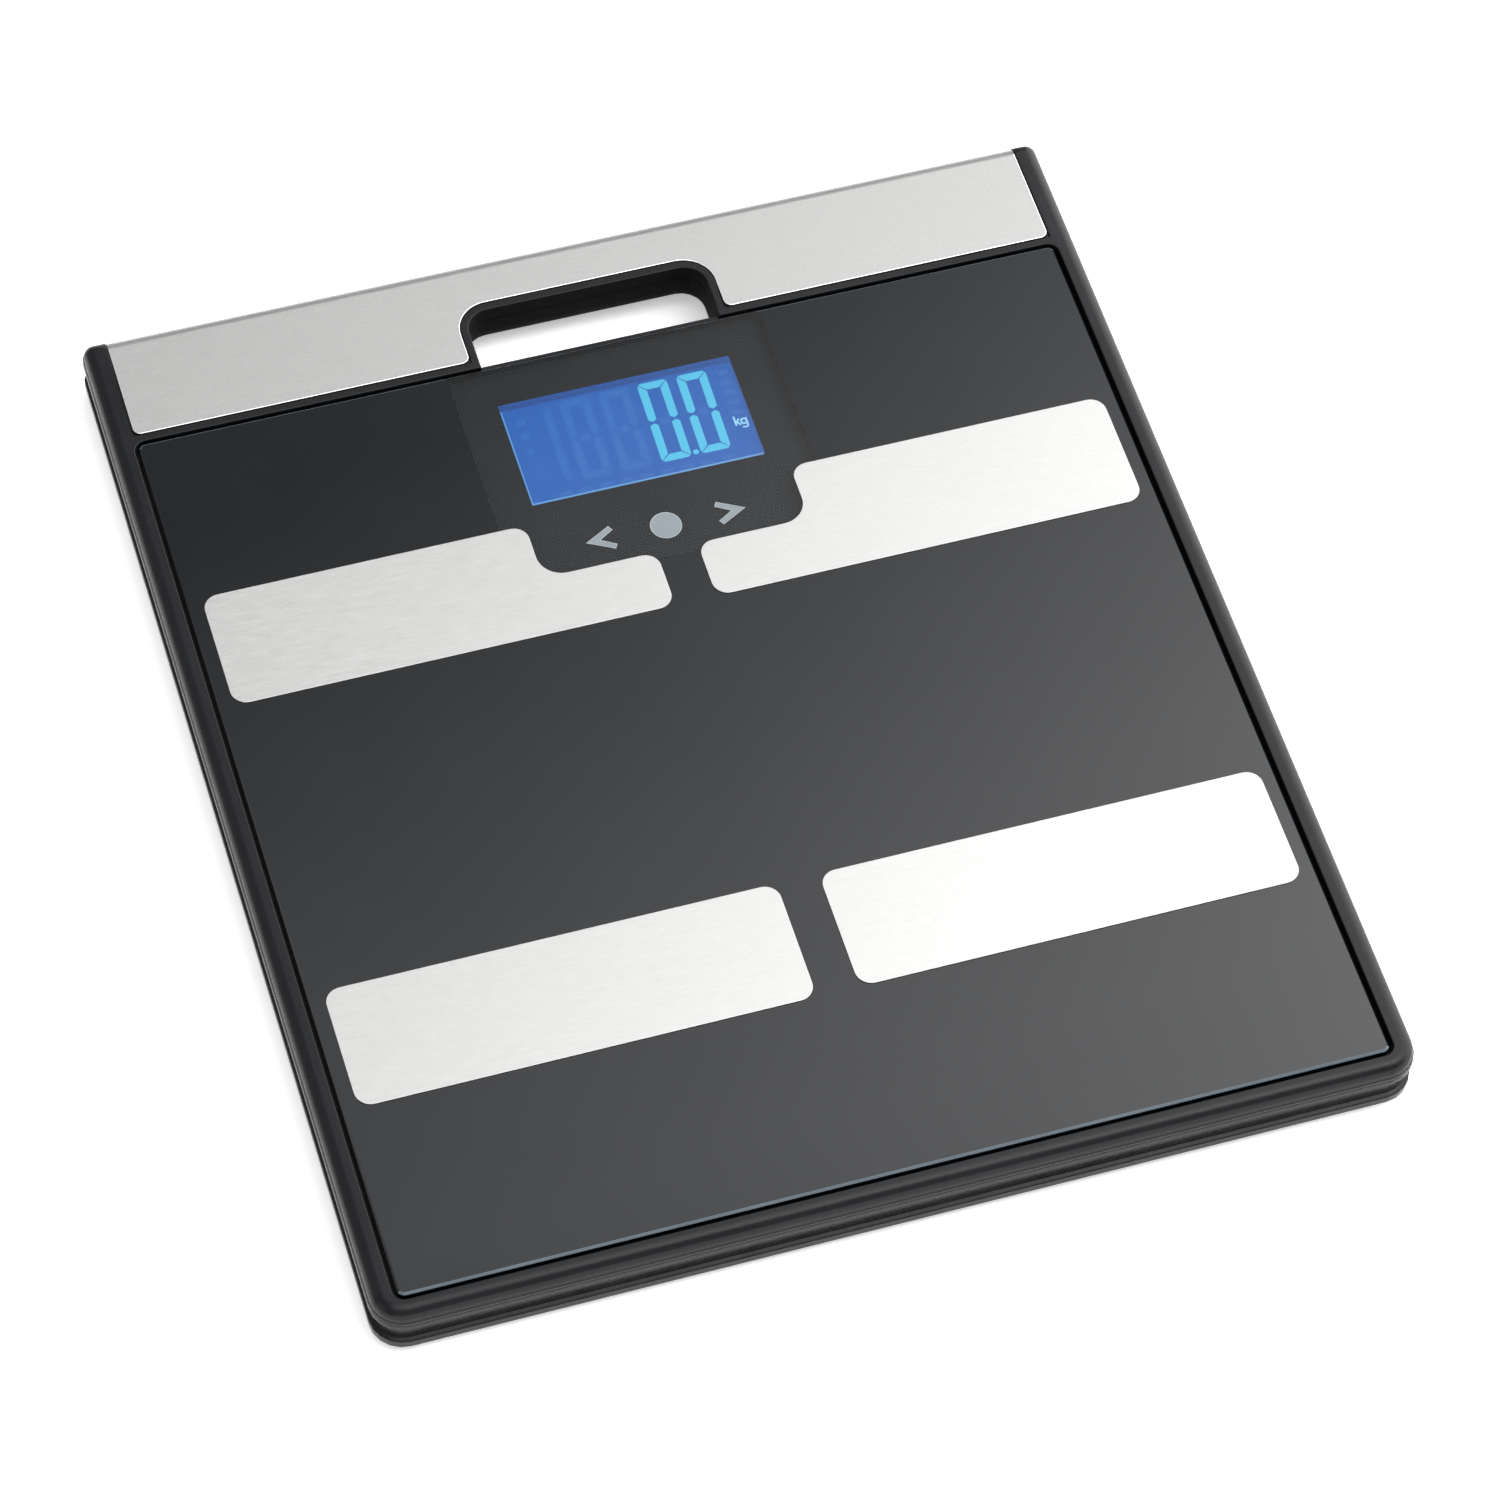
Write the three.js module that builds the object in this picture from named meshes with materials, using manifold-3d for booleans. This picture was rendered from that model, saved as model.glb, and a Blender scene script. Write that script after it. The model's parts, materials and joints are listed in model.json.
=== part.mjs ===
// Digital body-analysis bathroom scale: a glass platform in a black two-part casing, four steel
// electrodes, a backlit display, a steel-trimmed carrying handle and four weighing feet.
// Millimetres, +Z up, +X right, +Y towards the handle. The origin is on the floor, under the
// middle of the casing.
import * as THREE from 'three';
import { mergeVertices } from 'three/addons/utils/BufferGeometryUtils.js';
import Module from 'manifold-3d';

const wasm = await Module();
wasm.setup();

// ---- driving dimensions ----
const GAP = 0.3; // clearance between neighbours
const FAR = 40; // reach of a cutting tool past the part

// casing plan
const HALF_WIDTH = 158.2;
const HALF_DEPTH = 181;
const FRONT_CORNER = 10;
const BACK_CORNER = 4;
const CORNER_STEPS = 5;

// levels
const Z_UNDER = 2.4; // underside of the casing
const Z_FLOOR = 4.4; // inside floor of the lower shell
const Z_PARTING = 13.2; // lower edge of the upper frame
const Z_DECK_UNDER = 14;
const Z_DECK = 16;
const Z_RIM = 21.4;
const Z_GLASS = 21.7;
const GLASS_THICKNESS = 5;
const PRINT_THICKNESS = 0.2;
const Z_PRINT = Z_GLASS - GLASS_THICKNESS;
const Z_GASKET = Z_PRINT - PRINT_THICKNESS;

// glass platform
const GLASS_HALF_WIDTH = 150;
const GLASS_FRONT = -174;
const GLASS_BACK = 137;
const GLASS_CORNER = 2.4;
const GLASS_CHAMFER = 1;
const GLASS_GAP = 1.3;
const POCKET_HALF_WIDTH = GLASS_HALF_WIDTH + GLASS_GAP;
const POCKET_BACK = GLASS_BACK + GLASS_GAP;

// rim round-over and the notched bead along its lower edge
const ROUND_OVER = 3.9;
const BEAD = 0.35;
const LAP_OUTER = 4.3; // lap tongue of the upper frame inside the lower shell's wall
const LAP_INNER = 5.9;
const Z_LAP = 10.9;
const SHELL_INNER = 4;

// handle opening
const OPENING_HALF_WIDTH = 39.1;
const OPENING_FRONT = 139.6;
const OPENING_BACK = 160;
const OPENING_CORNER = 7.5;
const OPENING_WALL = 2;
const STRIP_DROP = 2; // the strip between glass and opening lies this far below the rim
const Z_OPENING_PARTING = 15.8; // where the two halves meet on the opening's wall
const GRIP_BACK = 8.7; // radius of the finger grip under the bar
const GRIP_SIDE = 5;

// steel handle trim
const TRIM_HALF_WIDTH = 150;
const TRIM_FRONT = 141.2;
const TRIM_BEND = 5;
const TRIM_BACK = HALF_DEPTH - 0.3;
const TRIM_THICKNESS = 0.6;
const TRIM_TOP = Z_RIM + 0.1;
const TRIM_BOTTOM = 15.7;
const TRIM_CORNER = 2.5;
const CUTOUT_HALF_WIDTH = 41.9;
const CUTOUT_BACK = 163;
const CUTOUT_CORNER = 10.5;
const BAR_HOLLOW_FRONT = POCKET_BACK + 2;
const BAR_HOLLOW_TOP = 18.6;

// electrodes
const ELECTRODE_THICKNESS = 0.4;
const ELECTRODE_INNER = 6.5;
const ELECTRODE_OUTER = 145.2;
const ELECTRODE_CORNER = 5;
const NEAR_FRONT = -111.6;
const NEAR_BACK = -70.8;
const FAR_FRONT = 34;
const FAR_BACK = 75.1;
const FAR_STEP_Y = 54.6;
const FAR_STEP_X = 42.7;
const FAR_STEP_FILLET = 8;
const STUD = { radius: 1.5, bottom: 13.2, nearX: 16, nearY: -91, farX: 20, farY: 44 };

// touch keys, printed in windows of the black back print
const KEY_Y = 66;
const KEY_DOT_RADIUS = 4.95;
const KEY_TIP_X = 25.7;
const KEY_OPEN_X = 16.4;
const KEY_HALF_HEIGHT = 4.9;
const KEY_STROKE = 2.1;

// display
const WINDOW_HALF_WIDTH = 37.75;
const WINDOW_FRONT = 84.1;
const WINDOW_BACK = 124.2;
const DISPLAY_Y = (WINDOW_FRONT + WINDOW_BACK) / 2;
const LCD_HALF_WIDTH = 42;
const LCD_HALF_DEPTH = 23.5;
const Z_LCD = 13.9;
const LCD_THICKNESS = 1.8;
const BACKLIGHT_THICKNESS = 2.6;
const TRAY_WALL = 2.2;

// electronics
const BOARD = { halfWidth: 46, front: 26, back: 74, bottom: 10.4, thickness: 1.2 };
const Z_BOARD = BOARD.bottom + BOARD.thickness;
const SENSOR_BOARD_HALF_WIDTH = 31;
const SENSOR_BOARD_HALF_DEPTH = 6;
const CABLE_Z = 12.6;
const CELL_CABLE_Z = 8.6; // under the cell seats and over the foot rings

// weighing feet
const FOOT_X = 121.5;
const FOOT_FRONT_Y = -140;
const FOOT_BACK_Y = 103;
const FOOT_RADIUS = 16.4;
const FOOT_FLANGE = 19;
const FOOT_HOLE = 17;
const PAD_RADIUS = 13.8;
const CELL_SIDE = 33;
const CELL_BOTTOM = 7.2;
const CELL_TOP = 9.6;
const SEAT_SIDE = 38;
const SEAT_HOLE = 24;

// battery bay
const BAY_Y = -22;
const DOOR_HALF_WIDTH = 27;
const DOOR_HALF_DEPTH = 14;
const DOOR_THICKNESS = 1.5;
const DOOR_EDGE = 1.2; // radius of the door's hinge edge
const DOOR_AXIS_Y = BAY_Y + DOOR_HALF_DEPTH - DOOR_EDGE;
const DOOR_AXIS_Z = Z_UNDER + DOOR_EDGE;
const DOOR_TAB_X = 15;
const DOOR_TAB_WIDTH = 6;
const COIN_RADIUS = 10;
const COIN_THICKNESS = 3.2;
const COIN_X = 11.2;
const COIN_BOTTOM = 4.7;
const BAY_ROOF = 8.4;
const BAY_TOP = 9.6;

// unit button under the main board
const BUTTON = { x: -28, y: 40, radius: 4, flange: 5.2 };

// case screws
const SCREW_PLACES = [[138, -60], [138, 40], [60, -168], [60, 168]];
const SCREW = { head: 2.8, headBottom: 3.6, headTop: 5.3, shank: 1.2, top: 15 };
const SCREW_BOSS_TOP = 11;

const SIDES = [['left', -1], ['right', 1]];
const FOOT_ROWS = [['front', FOOT_FRONT_Y], ['back', FOOT_BACK_Y]];

// ---- finishes ----
const FINISHES = {
  casing: { color: 0x232427, roughness: 0.55, metalness: 0 },
  glass: { color: 0x30343a, roughness: 0.06, metalness: 0 },
  backPrint: { color: 0x17181b, roughness: 0.4, metalness: 0 },
  steel: { color: 0xdcdcda, roughness: 0.3, metalness: 1 },
  cellSteel: { color: 0xa9abad, roughness: 0.45, metalness: 1 },
  keyPrint: { color: 0xa7b0b8, roughness: 0.5, metalness: 0 },
  display: { color: 0x2b6fc2, roughness: 0.2, metalness: 0 },
  whitePlastic: { color: 0xe8eaec, roughness: 0.5, metalness: 0 },
  greyPlastic: { color: 0x54575b, roughness: 0.6, metalness: 0 },
  rubber: { color: 0x1b1b1c, roughness: 0.9, metalness: 0 },
  foam: { color: 0x2a2a2a, roughness: 1, metalness: 0 },
  board: { color: 0x1f5b38, roughness: 0.5, metalness: 0 },
  chip: { color: 0x16171a, roughness: 0.4, metalness: 0 },
  contact: { color: 0xc9b27a, roughness: 0.35, metalness: 1 },
  cell: { color: 0xd6d7d8, roughness: 0.25, metalness: 1 },
  redCable: { color: 0xb02a24, roughness: 0.5, metalness: 0 },
  blackCable: { color: 0x1c1c1e, roughness: 0.5, metalness: 0 },
  whiteCable: { color: 0xdedfe0, roughness: 0.5, metalness: 0 },
};

// ---- solids ----
function toSolid(geometry) {
  const bare = geometry.clone();
  bare.deleteAttribute('normal');
  bare.deleteAttribute('uv');
  const merged = mergeVertices(bare, 1e-4);
  const corners = merged.index.array;
  const kept = [];
  for (let i = 0; i < corners.length; i += 3) {
    const [a, b, c] = [corners[i], corners[i + 1], corners[i + 2]];
    if (a !== b && b !== c && c !== a) kept.push(a, b, c);
  }
  const mesh = new wasm.Mesh({
    numProp: 3,
    vertProperties: merged.attributes.position.array,
    triVerts: Uint32Array.from(kept),
  });
  return new wasm.Manifold(mesh);
}

function toGeometry(solid) {
  const mesh = solid.getMesh();
  const geometry = new THREE.BufferGeometry();
  geometry.setAttribute('position', new THREE.BufferAttribute(mesh.vertProperties, 3));
  geometry.setIndex(new THREE.BufferAttribute(mesh.triVerts, 1));
  return geometry;
}

const join = (solids) => solids.reduce((whole, piece) => whole.add(piece));
const cut = (solid, tools) => tools.reduce((whole, tool) => whole.subtract(tool), solid);

// an outline pushed up from z = low to z = high
function plate(shape, low, high, curveSegments = 5) {
  const options = { depth: high - low, bevelEnabled: false, curveSegments };
  return toSolid(new THREE.ExtrudeGeometry(shape, options).translate(0, 0, low));
}

function box(x0, x1, y0, y1, z0, z1) {
  const geometry = new THREE.BoxGeometry(x1 - x0, y1 - y0, z1 - z0);
  return toSolid(geometry.translate((x0 + x1) / 2, (y0 + y1) / 2, (z0 + z1) / 2));
}

function disc(x, y, radius, low, high, sides = 20) {
  const geometry = new THREE.CylinderGeometry(radius, radius, high - low, sides);
  return toSolid(geometry.rotateX(Math.PI / 2).translate(x, y, (low + high) / 2));
}

// a profile of [radius, height] points, turned about a vertical axis at x, y
function turned(x, y, profile, sides = 24) {
  const points = profile.map(([radius, height]) => new THREE.Vector2(radius, height));
  return toSolid(new THREE.LatheGeometry(points, sides).rotateX(Math.PI / 2).translate(x, y, 0));
}

// a section drawn in Y and Z, pushed along X
function bar(section, x0, x1, curveSegments = 6) {
  const options = { depth: x1 - x0, bevelEnabled: false, curveSegments };
  const geometry = new THREE.ExtrudeGeometry(section, options).translate(0, 0, x0);
  const basis = new THREE.Matrix4().makeBasis(
    new THREE.Vector3(0, 1, 0), new THREE.Vector3(0, 0, 1), new THREE.Vector3(1, 0, 0));
  return toSolid(geometry.applyMatrix4(basis));
}

// a round cable through points [x, y, z]
function cable(points, radius, steps) {
  const vectors = points.map((p) => new THREE.Vector3(...p));
  const path = new THREE.CatmullRomCurve3(vectors, false, 'centripetal');
  const section = new THREE.Shape();
  for (let side = 0; side < 8; side += 1) {
    const angle = (side + 0.5) * Math.PI / 4;
    const at = [radius * Math.cos(angle), radius * Math.sin(angle)];
    if (side === 0) section.moveTo(...at);
    else section.lineTo(...at);
  }
  return toSolid(new THREE.ExtrudeGeometry(section, { steps, extrudePath: path, bevelEnabled: false }));
}

// ---- outlines ----
// rectangle with corner radii in the order front left, front right, back right, back left
function roundedRect(x0, x1, y0, y1, radii) {
  const [fl, fr, br, bl] = Array.isArray(radii) ? radii : [radii, radii, radii, radii];
  const shape = new THREE.Shape();
  shape.moveTo(x0 + fl, y0);
  shape.lineTo(x1 - fr, y0);
  if (fr) shape.absarc(x1 - fr, y0 + fr, fr, -Math.PI / 2, 0);
  shape.lineTo(x1, y1 - br);
  if (br) shape.absarc(x1 - br, y1 - br, br, 0, Math.PI / 2);
  shape.lineTo(x0 + bl, y1);
  if (bl) shape.absarc(x0 + bl, y1 - bl, bl, Math.PI / 2, Math.PI);
  shape.lineTo(x0, y0 + fl);
  if (fl) shape.absarc(x0 + fl, y0 + fl, fl, Math.PI, 1.5 * Math.PI);
  return shape;
}

const centredRect = (halfX, y, halfY, radius) => roundedRect(-halfX, halfX, y - halfY, y + halfY, radius);

function polygon(points) {
  return new THREE.Shape(points.map(([x, y]) => new THREE.Vector2(x, y)));
}

// points of a rounded rectangle, anticlockwise, with the same count for every size
function ring(halfX, front, back, frontRadius, backRadius) {
  const corners = [
    [halfX - frontRadius, front + frontRadius, frontRadius, -Math.PI / 2],
    [halfX - backRadius, back - backRadius, backRadius, 0],
    [backRadius - halfX, back - backRadius, backRadius, Math.PI / 2],
    [frontRadius - halfX, front + frontRadius, frontRadius, Math.PI],
  ];
  const points = [];
  for (const [x, y, radius, start] of corners) {
    for (let step = 0; step <= CORNER_STEPS; step += 1) {
      const angle = start + (step / CORNER_STEPS) * (Math.PI / 2);
      points.push([x + radius * Math.cos(angle), y + radius * Math.sin(angle)]);
    }
  }
  return points;
}

const casingRing = (inset) => ring(
  HALF_WIDTH - inset, inset - HALF_DEPTH, HALF_DEPTH - inset,
  Math.max(FRONT_CORNER - inset, 0.5), Math.max(BACK_CORNER - inset, 0.5));

const casingShape = (inset) => polygon(casingRing(inset));

// rings of [x, y] points at rising heights, skinned and capped
function loft(rings, heights) {
  const count = rings[0].length;
  const positions = rings.flatMap((points, level) => points.flatMap(([x, y]) => [x, y, heights[level]]));
  const index = [];
  for (let level = 0; level < rings.length - 1; level += 1) {
    for (let i = 0; i < count; i += 1) {
      const a = level * count + i;
      const b = level * count + ((i + 1) % count);
      index.push(a, b, b + count, a, b + count, a + count);
    }
  }
  const under = positions.length / 3;
  const over = under + 1;
  const top = (rings.length - 1) * count;
  const middle = rings[0].reduce((sum, [, y]) => sum + y, 0) / count;
  positions.push(0, middle, heights[0], 0, middle, heights[heights.length - 1]);
  for (let i = 0; i < count; i += 1) {
    const next = (i + 1) % count;
    index.push(under, next, i, over, top + i, top + next);
  }
  const geometry = new THREE.BufferGeometry();
  geometry.setAttribute('position', new THREE.Float32BufferAttribute(positions, 3));
  geometry.setIndex(index);
  return toSolid(geometry);
}

// the casing's plan carried up a profile of [inset, height] points
const casingLoft = (profile) => loft(profile.map(([inset]) => casingRing(inset)), profile.map(([, z]) => z));

const openingShape = (grow = 0) => roundedRect(
  -OPENING_HALF_WIDTH - grow, OPENING_HALF_WIDTH + grow, OPENING_FRONT - grow, OPENING_BACK + grow,
  [grow, grow, OPENING_CORNER + grow, OPENING_CORNER + grow]);

const openingTool = () => plate(openingShape(), -FAR, FAR);

// ---- fastening features shared by both casing halves ----
const screwPlaces = () => SCREW_PLACES.flatMap(([x, y]) => [[-x, y], [x, y]]);

const footPlaces = () => FOOT_ROWS.flatMap(([row, y]) => SIDES.map(([side, sign]) => (
  { name: `${row}_${side}`, x: sign * FOOT_X, y, sign })));

const studPlaces = () => [
  { name: 'near', x: STUD.nearX, y: STUD.nearY },
  { name: 'far', x: STUD.farX, y: STUD.farY },
];

// ---- casing ----
function upperFrame() {
  const wall = [
    [0.6, Z_PARTING], [0, Z_PARTING + 0.4], [0, 15.5], [0.25, 15.65], [0.25, 15.85],
    [0, 16], [0, 16.7], [BEAD, 17], [BEAD, Z_RIM - ROUND_OVER],
  ];
  const steps = 6;
  for (let step = 1; step <= steps; step += 1) {
    const angle = (step / steps) * (Math.PI / 2);
    wall.push([BEAD + ROUND_OVER * (1 - Math.cos(angle)), Z_RIM - ROUND_OVER * (1 - Math.sin(angle))]);
  }
  const body = casingLoft(wall).add(plate(casingShape(LAP_OUTER), Z_LAP, Z_PARTING + 0.5));
  const posts = screwPlaces().map(([x, y]) => (
    disc(x, y, 3.6, SCREW_BOSS_TOP + GAP, BAR_HOLLOW_TOP + 1, 16)));
  const seats = footPlaces().map(({ x, y }) => cellSeat(x, y));
  const postZone = [
    plate(casingShape(LAP_OUTER), -FAR, Z_DECK - 0.5),
    box(
      -POCKET_HALF_WIDTH, POCKET_HALF_WIDTH,
      BAR_HOLLOW_FRONT, HALF_DEPTH - LAP_INNER, 0, BAR_HOLLOW_TOP + 0.5,
    ),
  ];
  const shell = cut(body, [
    plate(casingShape(LAP_INNER), -FAR, Z_DECK_UNDER),
    barHollow(),
    plate(pocketShape(), Z_DECK, FAR),
    trimRecess(),
  ]);
  return cut(join([shell, ...seats, join(posts).intersect(join(postZone))]), [
    openingTool(),
    box(
      -OPENING_HALF_WIDTH, OPENING_HALF_WIDTH, POCKET_BACK - 1, OPENING_FRONT + 1, Z_RIM - STRIP_DROP, FAR,
    ),
    plate(centredRect(LCD_HALF_WIDTH + 3, DISPLAY_Y, LCD_HALF_DEPTH + 3.5, 2), 0, FAR),
    plate(centredRect(SENSOR_BOARD_HALF_WIDTH + 1, KEY_Y, SENSOR_BOARD_HALF_DEPTH + 1, 2), 0, FAR),
    ...studPlaces().flatMap(({ x, y }) => [-x, x].map((at) => disc(at, y, 3, 0, FAR, 16))),
    ...screwPlaces().map(([x, y]) => disc(x, y, 1.5, 0, SCREW.top + 0.3, 12)),
  ]);
}

// raised square frame under the deck that a load cell bears on
function cellSeat(x, y) {
  const square = (side, low, high) => box(
    x - side / 2, x + side / 2, y - side / 2, y + side / 2, low, high);
  return square(SEAT_SIDE, CELL_TOP, Z_DECK - 0.5).subtract(square(SEAT_HOLE, 0, Z_DECK_UNDER));
}

const pocketShape = () => roundedRect(
  -POCKET_HALF_WIDTH, POCKET_HALF_WIDTH, GLASS_FRONT - GLASS_GAP, POCKET_BACK, GLASS_CORNER + GLASS_GAP);

// space inside the handle bar, clear of the wall round the opening
function barHollow() {
  const half = HALF_WIDTH - LAP_INNER;
  const hollow = box(-half, half, BAR_HOLLOW_FRONT, HALF_DEPTH - LAP_INNER, 0, BAR_HOLLOW_TOP);
  const wallRound = plate(openingShape(OPENING_WALL), Z_OPENING_PARTING + 0.1, FAR);
  return hollow.subtract(wallRound);
}

// step in the frame that the trim lies in, interrupted by the raised rim round the opening
function trimRecess() {
  const depth = TRIM_THICKNESS + GAP;
  const bend = TRIM_BEND - depth;
  const centreY = TRIM_BACK - TRIM_BEND;
  const centreZ = TRIM_TOP - TRIM_BEND;
  const section = new THREE.Shape();
  section.moveTo(TRIM_FRONT - GAP, FAR);
  section.lineTo(TRIM_FRONT - GAP, TRIM_TOP - depth);
  section.lineTo(centreY, TRIM_TOP - depth);
  section.absarc(centreY, centreZ, bend, Math.PI / 2, 0, true);
  section.lineTo(TRIM_BACK - depth, TRIM_BOTTOM - GAP);
  section.lineTo(HALF_DEPTH + FAR, TRIM_BOTTOM - GAP);
  section.lineTo(HALF_DEPTH + FAR, FAR);
  const recess = bar(section, -TRIM_HALF_WIDTH - GAP, TRIM_HALF_WIDTH + GAP);
  return recess.subtract(plate(cutoutShape(GAP), 0, Z_RIM));
}

// the U-shaped notch of the trim round the opening, smaller by inset
const cutoutShape = (inset = 0) => roundedRect(
  inset - CUTOUT_HALF_WIDTH, CUTOUT_HALF_WIDTH - inset, POCKET_BACK, CUTOUT_BACK - inset,
  [0, 0, CUTOUT_CORNER - inset, CUTOUT_CORNER - inset]);

function lowerShell() {
  const profile = [
    [1.2, Z_UNDER], [0.4, 2.8], [0, 3.5], [0, 6.1], [0.3, 6.45], [1.4, 6.8],
    [1.4, 7.6], [1.7, 7.8], [1.7, 11.2], [2.3, 11.5], [2.3, Z_PARTING - 0.5],
  ];
  const tray = casingLoft(profile).subtract(plate(casingShape(SHELL_INNER), Z_FLOOR, FAR));
  const wallZone = [
    plate(openingShape(OPENING_WALL), Z_UNDER + 0.5, Z_DECK_UNDER - GAP),
    plate(openingShape(OPENING_WALL), Z_UNDER + 0.5, Z_OPENING_PARTING - 0.2)
      .intersect(box(-60, 60, BAR_HOLLOW_FRONT + 1, HALF_DEPTH, 0, FAR)),
    gripFlare(OPENING_WALL),
  ];
  const whole = join([tray, ...wallZone, ...shellRibs(), ...screwBosses(), ...boardStakes(), bayBlock()]);
  return cut(whole, [
    openingTool(),
    gripFlare(),
    ...footPlaces().map(({ x, y }) => disc(x, y, FOOT_HOLE, 0, FAR, 28)),
    ...screwPlaces().flatMap(([x, y]) => [
      disc(x, y, SCREW.head + 0.5, 0, SCREW.headTop + 0.1, 16), disc(x, y, 1.6, 0, FAR, 12)]),
    ...bayTools(),
    disc(BUTTON.x, BUTTON.y, BUTTON.radius + GAP, 0, FAR),
    labelRecess(),
  ]);
}

// the opening widening downwards into a rounded finger grip
function gripFlare(grow = 0) {
  const steps = 6;
  const rings = [];
  const heights = [];
  for (let step = 0; step <= steps; step += 1) {
    const angle = (step / steps) * (Math.PI / 2);
    const z = Z_UNDER + GRIP_BACK * (1 - Math.cos(angle));
    const back = GRIP_BACK * (1 - Math.sin(angle)) + grow;
    const drop = Math.max(Z_UNDER + GRIP_SIDE - z, 0);
    const side = GRIP_SIDE - Math.sqrt(GRIP_SIDE ** 2 - drop ** 2) + grow;
    rings.push(ring(
      OPENING_HALF_WIDTH + side, OPENING_FRONT - side, OPENING_BACK + back,
      0.2 + side, OPENING_CORNER + side));
    heights.push(z);
  }
  if (!grow) {
    rings.unshift(rings[0]);
    heights.unshift(0);
  }
  return loft(rings, heights);
}

// stiffening ribs on the inside floor and a ring round each foot
function shellRibs() {
  const top = Z_FLOOR + 2.2;
  const half = 0.7;
  const reachX = HALF_WIDTH - SHELL_INNER + 0.5;
  const along = [-100, 0, 85].map((y) => box(-reachX, reachX, y - half, y + half, Z_FLOOR - 0.5, top));
  const across = [-92, -58, 58, 92].map((x) => (
    box(x - half, x + half, -HALF_DEPTH + SHELL_INNER - 0.5, BAR_HOLLOW_FRONT, Z_FLOOR - 0.6, top - 0.4)));
  const rings = footPlaces().map(({ x, y }) => (
    disc(x, y, 26, Z_FLOOR - 0.5, Z_FLOOR + 3, 28).subtract(disc(x, y, 24.5, 0, FAR, 28))));
  const clear = [
    box(-BOARD.halfWidth - 1, BOARD.halfWidth + 1, BOARD.front - 1, WINDOW_BACK + 8, Z_FLOOR, FAR),
    box(-DOOR_HALF_WIDTH - 4, DOOR_HALF_WIDTH + 4, BAY_Y - 18, BAY_Y + 22, Z_FLOOR, FAR),
    ...footPlaces().map(({ x, y }) => disc(x, y, 24.5, Z_FLOOR, FAR, 28)),
  ];
  return [cut(join([...along, ...across]), clear), ...rings];
}

const screwBosses = () => screwPlaces().map(([x, y]) => disc(x, y, 5, Z_FLOOR - 0.5, SCREW_BOSS_TOP, 16));

// posts that carry the main board, each with a pin through it
function boardStakes() {
  const places = [-1, 1].flatMap((sign) => [BOARD.front + 4, BOARD.back - 4].map((y) => (
    [sign * (BOARD.halfWidth - 4), y])));
  return places.flatMap(([x, y]) => [
    disc(x, y, 2.5, Z_FLOOR - 0.5, BOARD.bottom, 12), disc(x, y, 1.1, Z_FLOOR, Z_BOARD + 0.6, 8)]);
}

function bayBlock() {
  const wall = 2.4;
  return box(
    -DOOR_HALF_WIDTH - wall, DOOR_HALF_WIDTH + wall,
    BAY_Y - DOOR_HALF_DEPTH - wall, BAY_Y + DOOR_HALF_DEPTH + 4.5, Z_UNDER + 0.5, BAY_TOP);
}

// door seat, hinge channel with its two tab pockets, cell wells and a finger scoop
function bayTools() {
  const side = DOOR_HALF_WIDTH + GAP;
  const front = BAY_Y - DOOR_HALF_DEPTH;
  const seatTop = Z_UNDER + DOOR_THICKNESS + 0.2;
  const seatBack = DOOR_AXIS_Y + DOOR_EDGE + GAP;
  const tabHalf = DOOR_TAB_WIDTH / 2 + 0.4;
  const tabPockets = [-1, 1].map((sign) => box(
    sign * DOOR_TAB_X - tabHalf, sign * DOOR_TAB_X + tabHalf,
    DOOR_AXIS_Y - 1.6, DOOR_AXIS_Y + 3.3, Z_UNDER + 0.6, Z_UNDER + 4.6));
  const wells = [-1, 1].map((sign) => disc(sign * COIN_X, BAY_Y - 2, COIN_RADIUS + 0.7, 0, BAY_ROOF, 24));
  return [
    box(-side, side, front - GAP, seatBack, 0, seatTop),
    box(-side, side, DOOR_AXIS_Y - 1.6, seatBack, 0, Z_UNDER + 2.8),
    ...tabPockets,
    ...wells,
    box(-20.5, 20.5, BAY_Y - 7, BAY_Y + 3, 0, BAY_ROOF),
    box(-20.5, 20.5, BAY_Y + 5.2, BAY_Y + 9.2, seatTop - 1, BAY_ROOF),
    box(-5, 5, front + 0.6, front + 3.4, seatTop - 1, Z_UNDER + 4.8),
    plate(roundedRect(-7, 7, front - 6, front, [6, 6, 0, 0]), 0, Z_UNDER + 1),
  ];
}

const LABEL = { x0: -96, x1: -46, y0: -34, y1: -10, depth: 0.3 };
const labelRecess = () => box(
  LABEL.x0 - GAP, LABEL.x1 + GAP, LABEL.y0 - GAP, LABEL.y1 + GAP, 0, Z_UNDER + LABEL.depth);
const blankLabel = () => box(
  LABEL.x0, LABEL.x1, LABEL.y0, LABEL.y1, Z_UNDER + 0.05, Z_UNDER + LABEL.depth);

// ---- platform ----
function glassPlatform() {
  const glassRing = (inset) => ring(
    GLASS_HALF_WIDTH - inset, GLASS_FRONT + inset, GLASS_BACK - inset,
    GLASS_CORNER - inset, GLASS_CORNER - inset);
  const arris = 0.4;
  const pane = loft(
    [glassRing(arris), glassRing(0), glassRing(0), glassRing(GLASS_CHAMFER)],
    [Z_PRINT, Z_PRINT + arris, Z_GLASS - GLASS_CHAMFER, Z_GLASS]);
  return cut(pane, studHoles(2.2));
}

const studHoles = (radius) => studPlaces().flatMap(({ x, y }) => (
  [-x, x].map((at) => disc(at, y, radius, 0, FAR, 12))));

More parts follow.
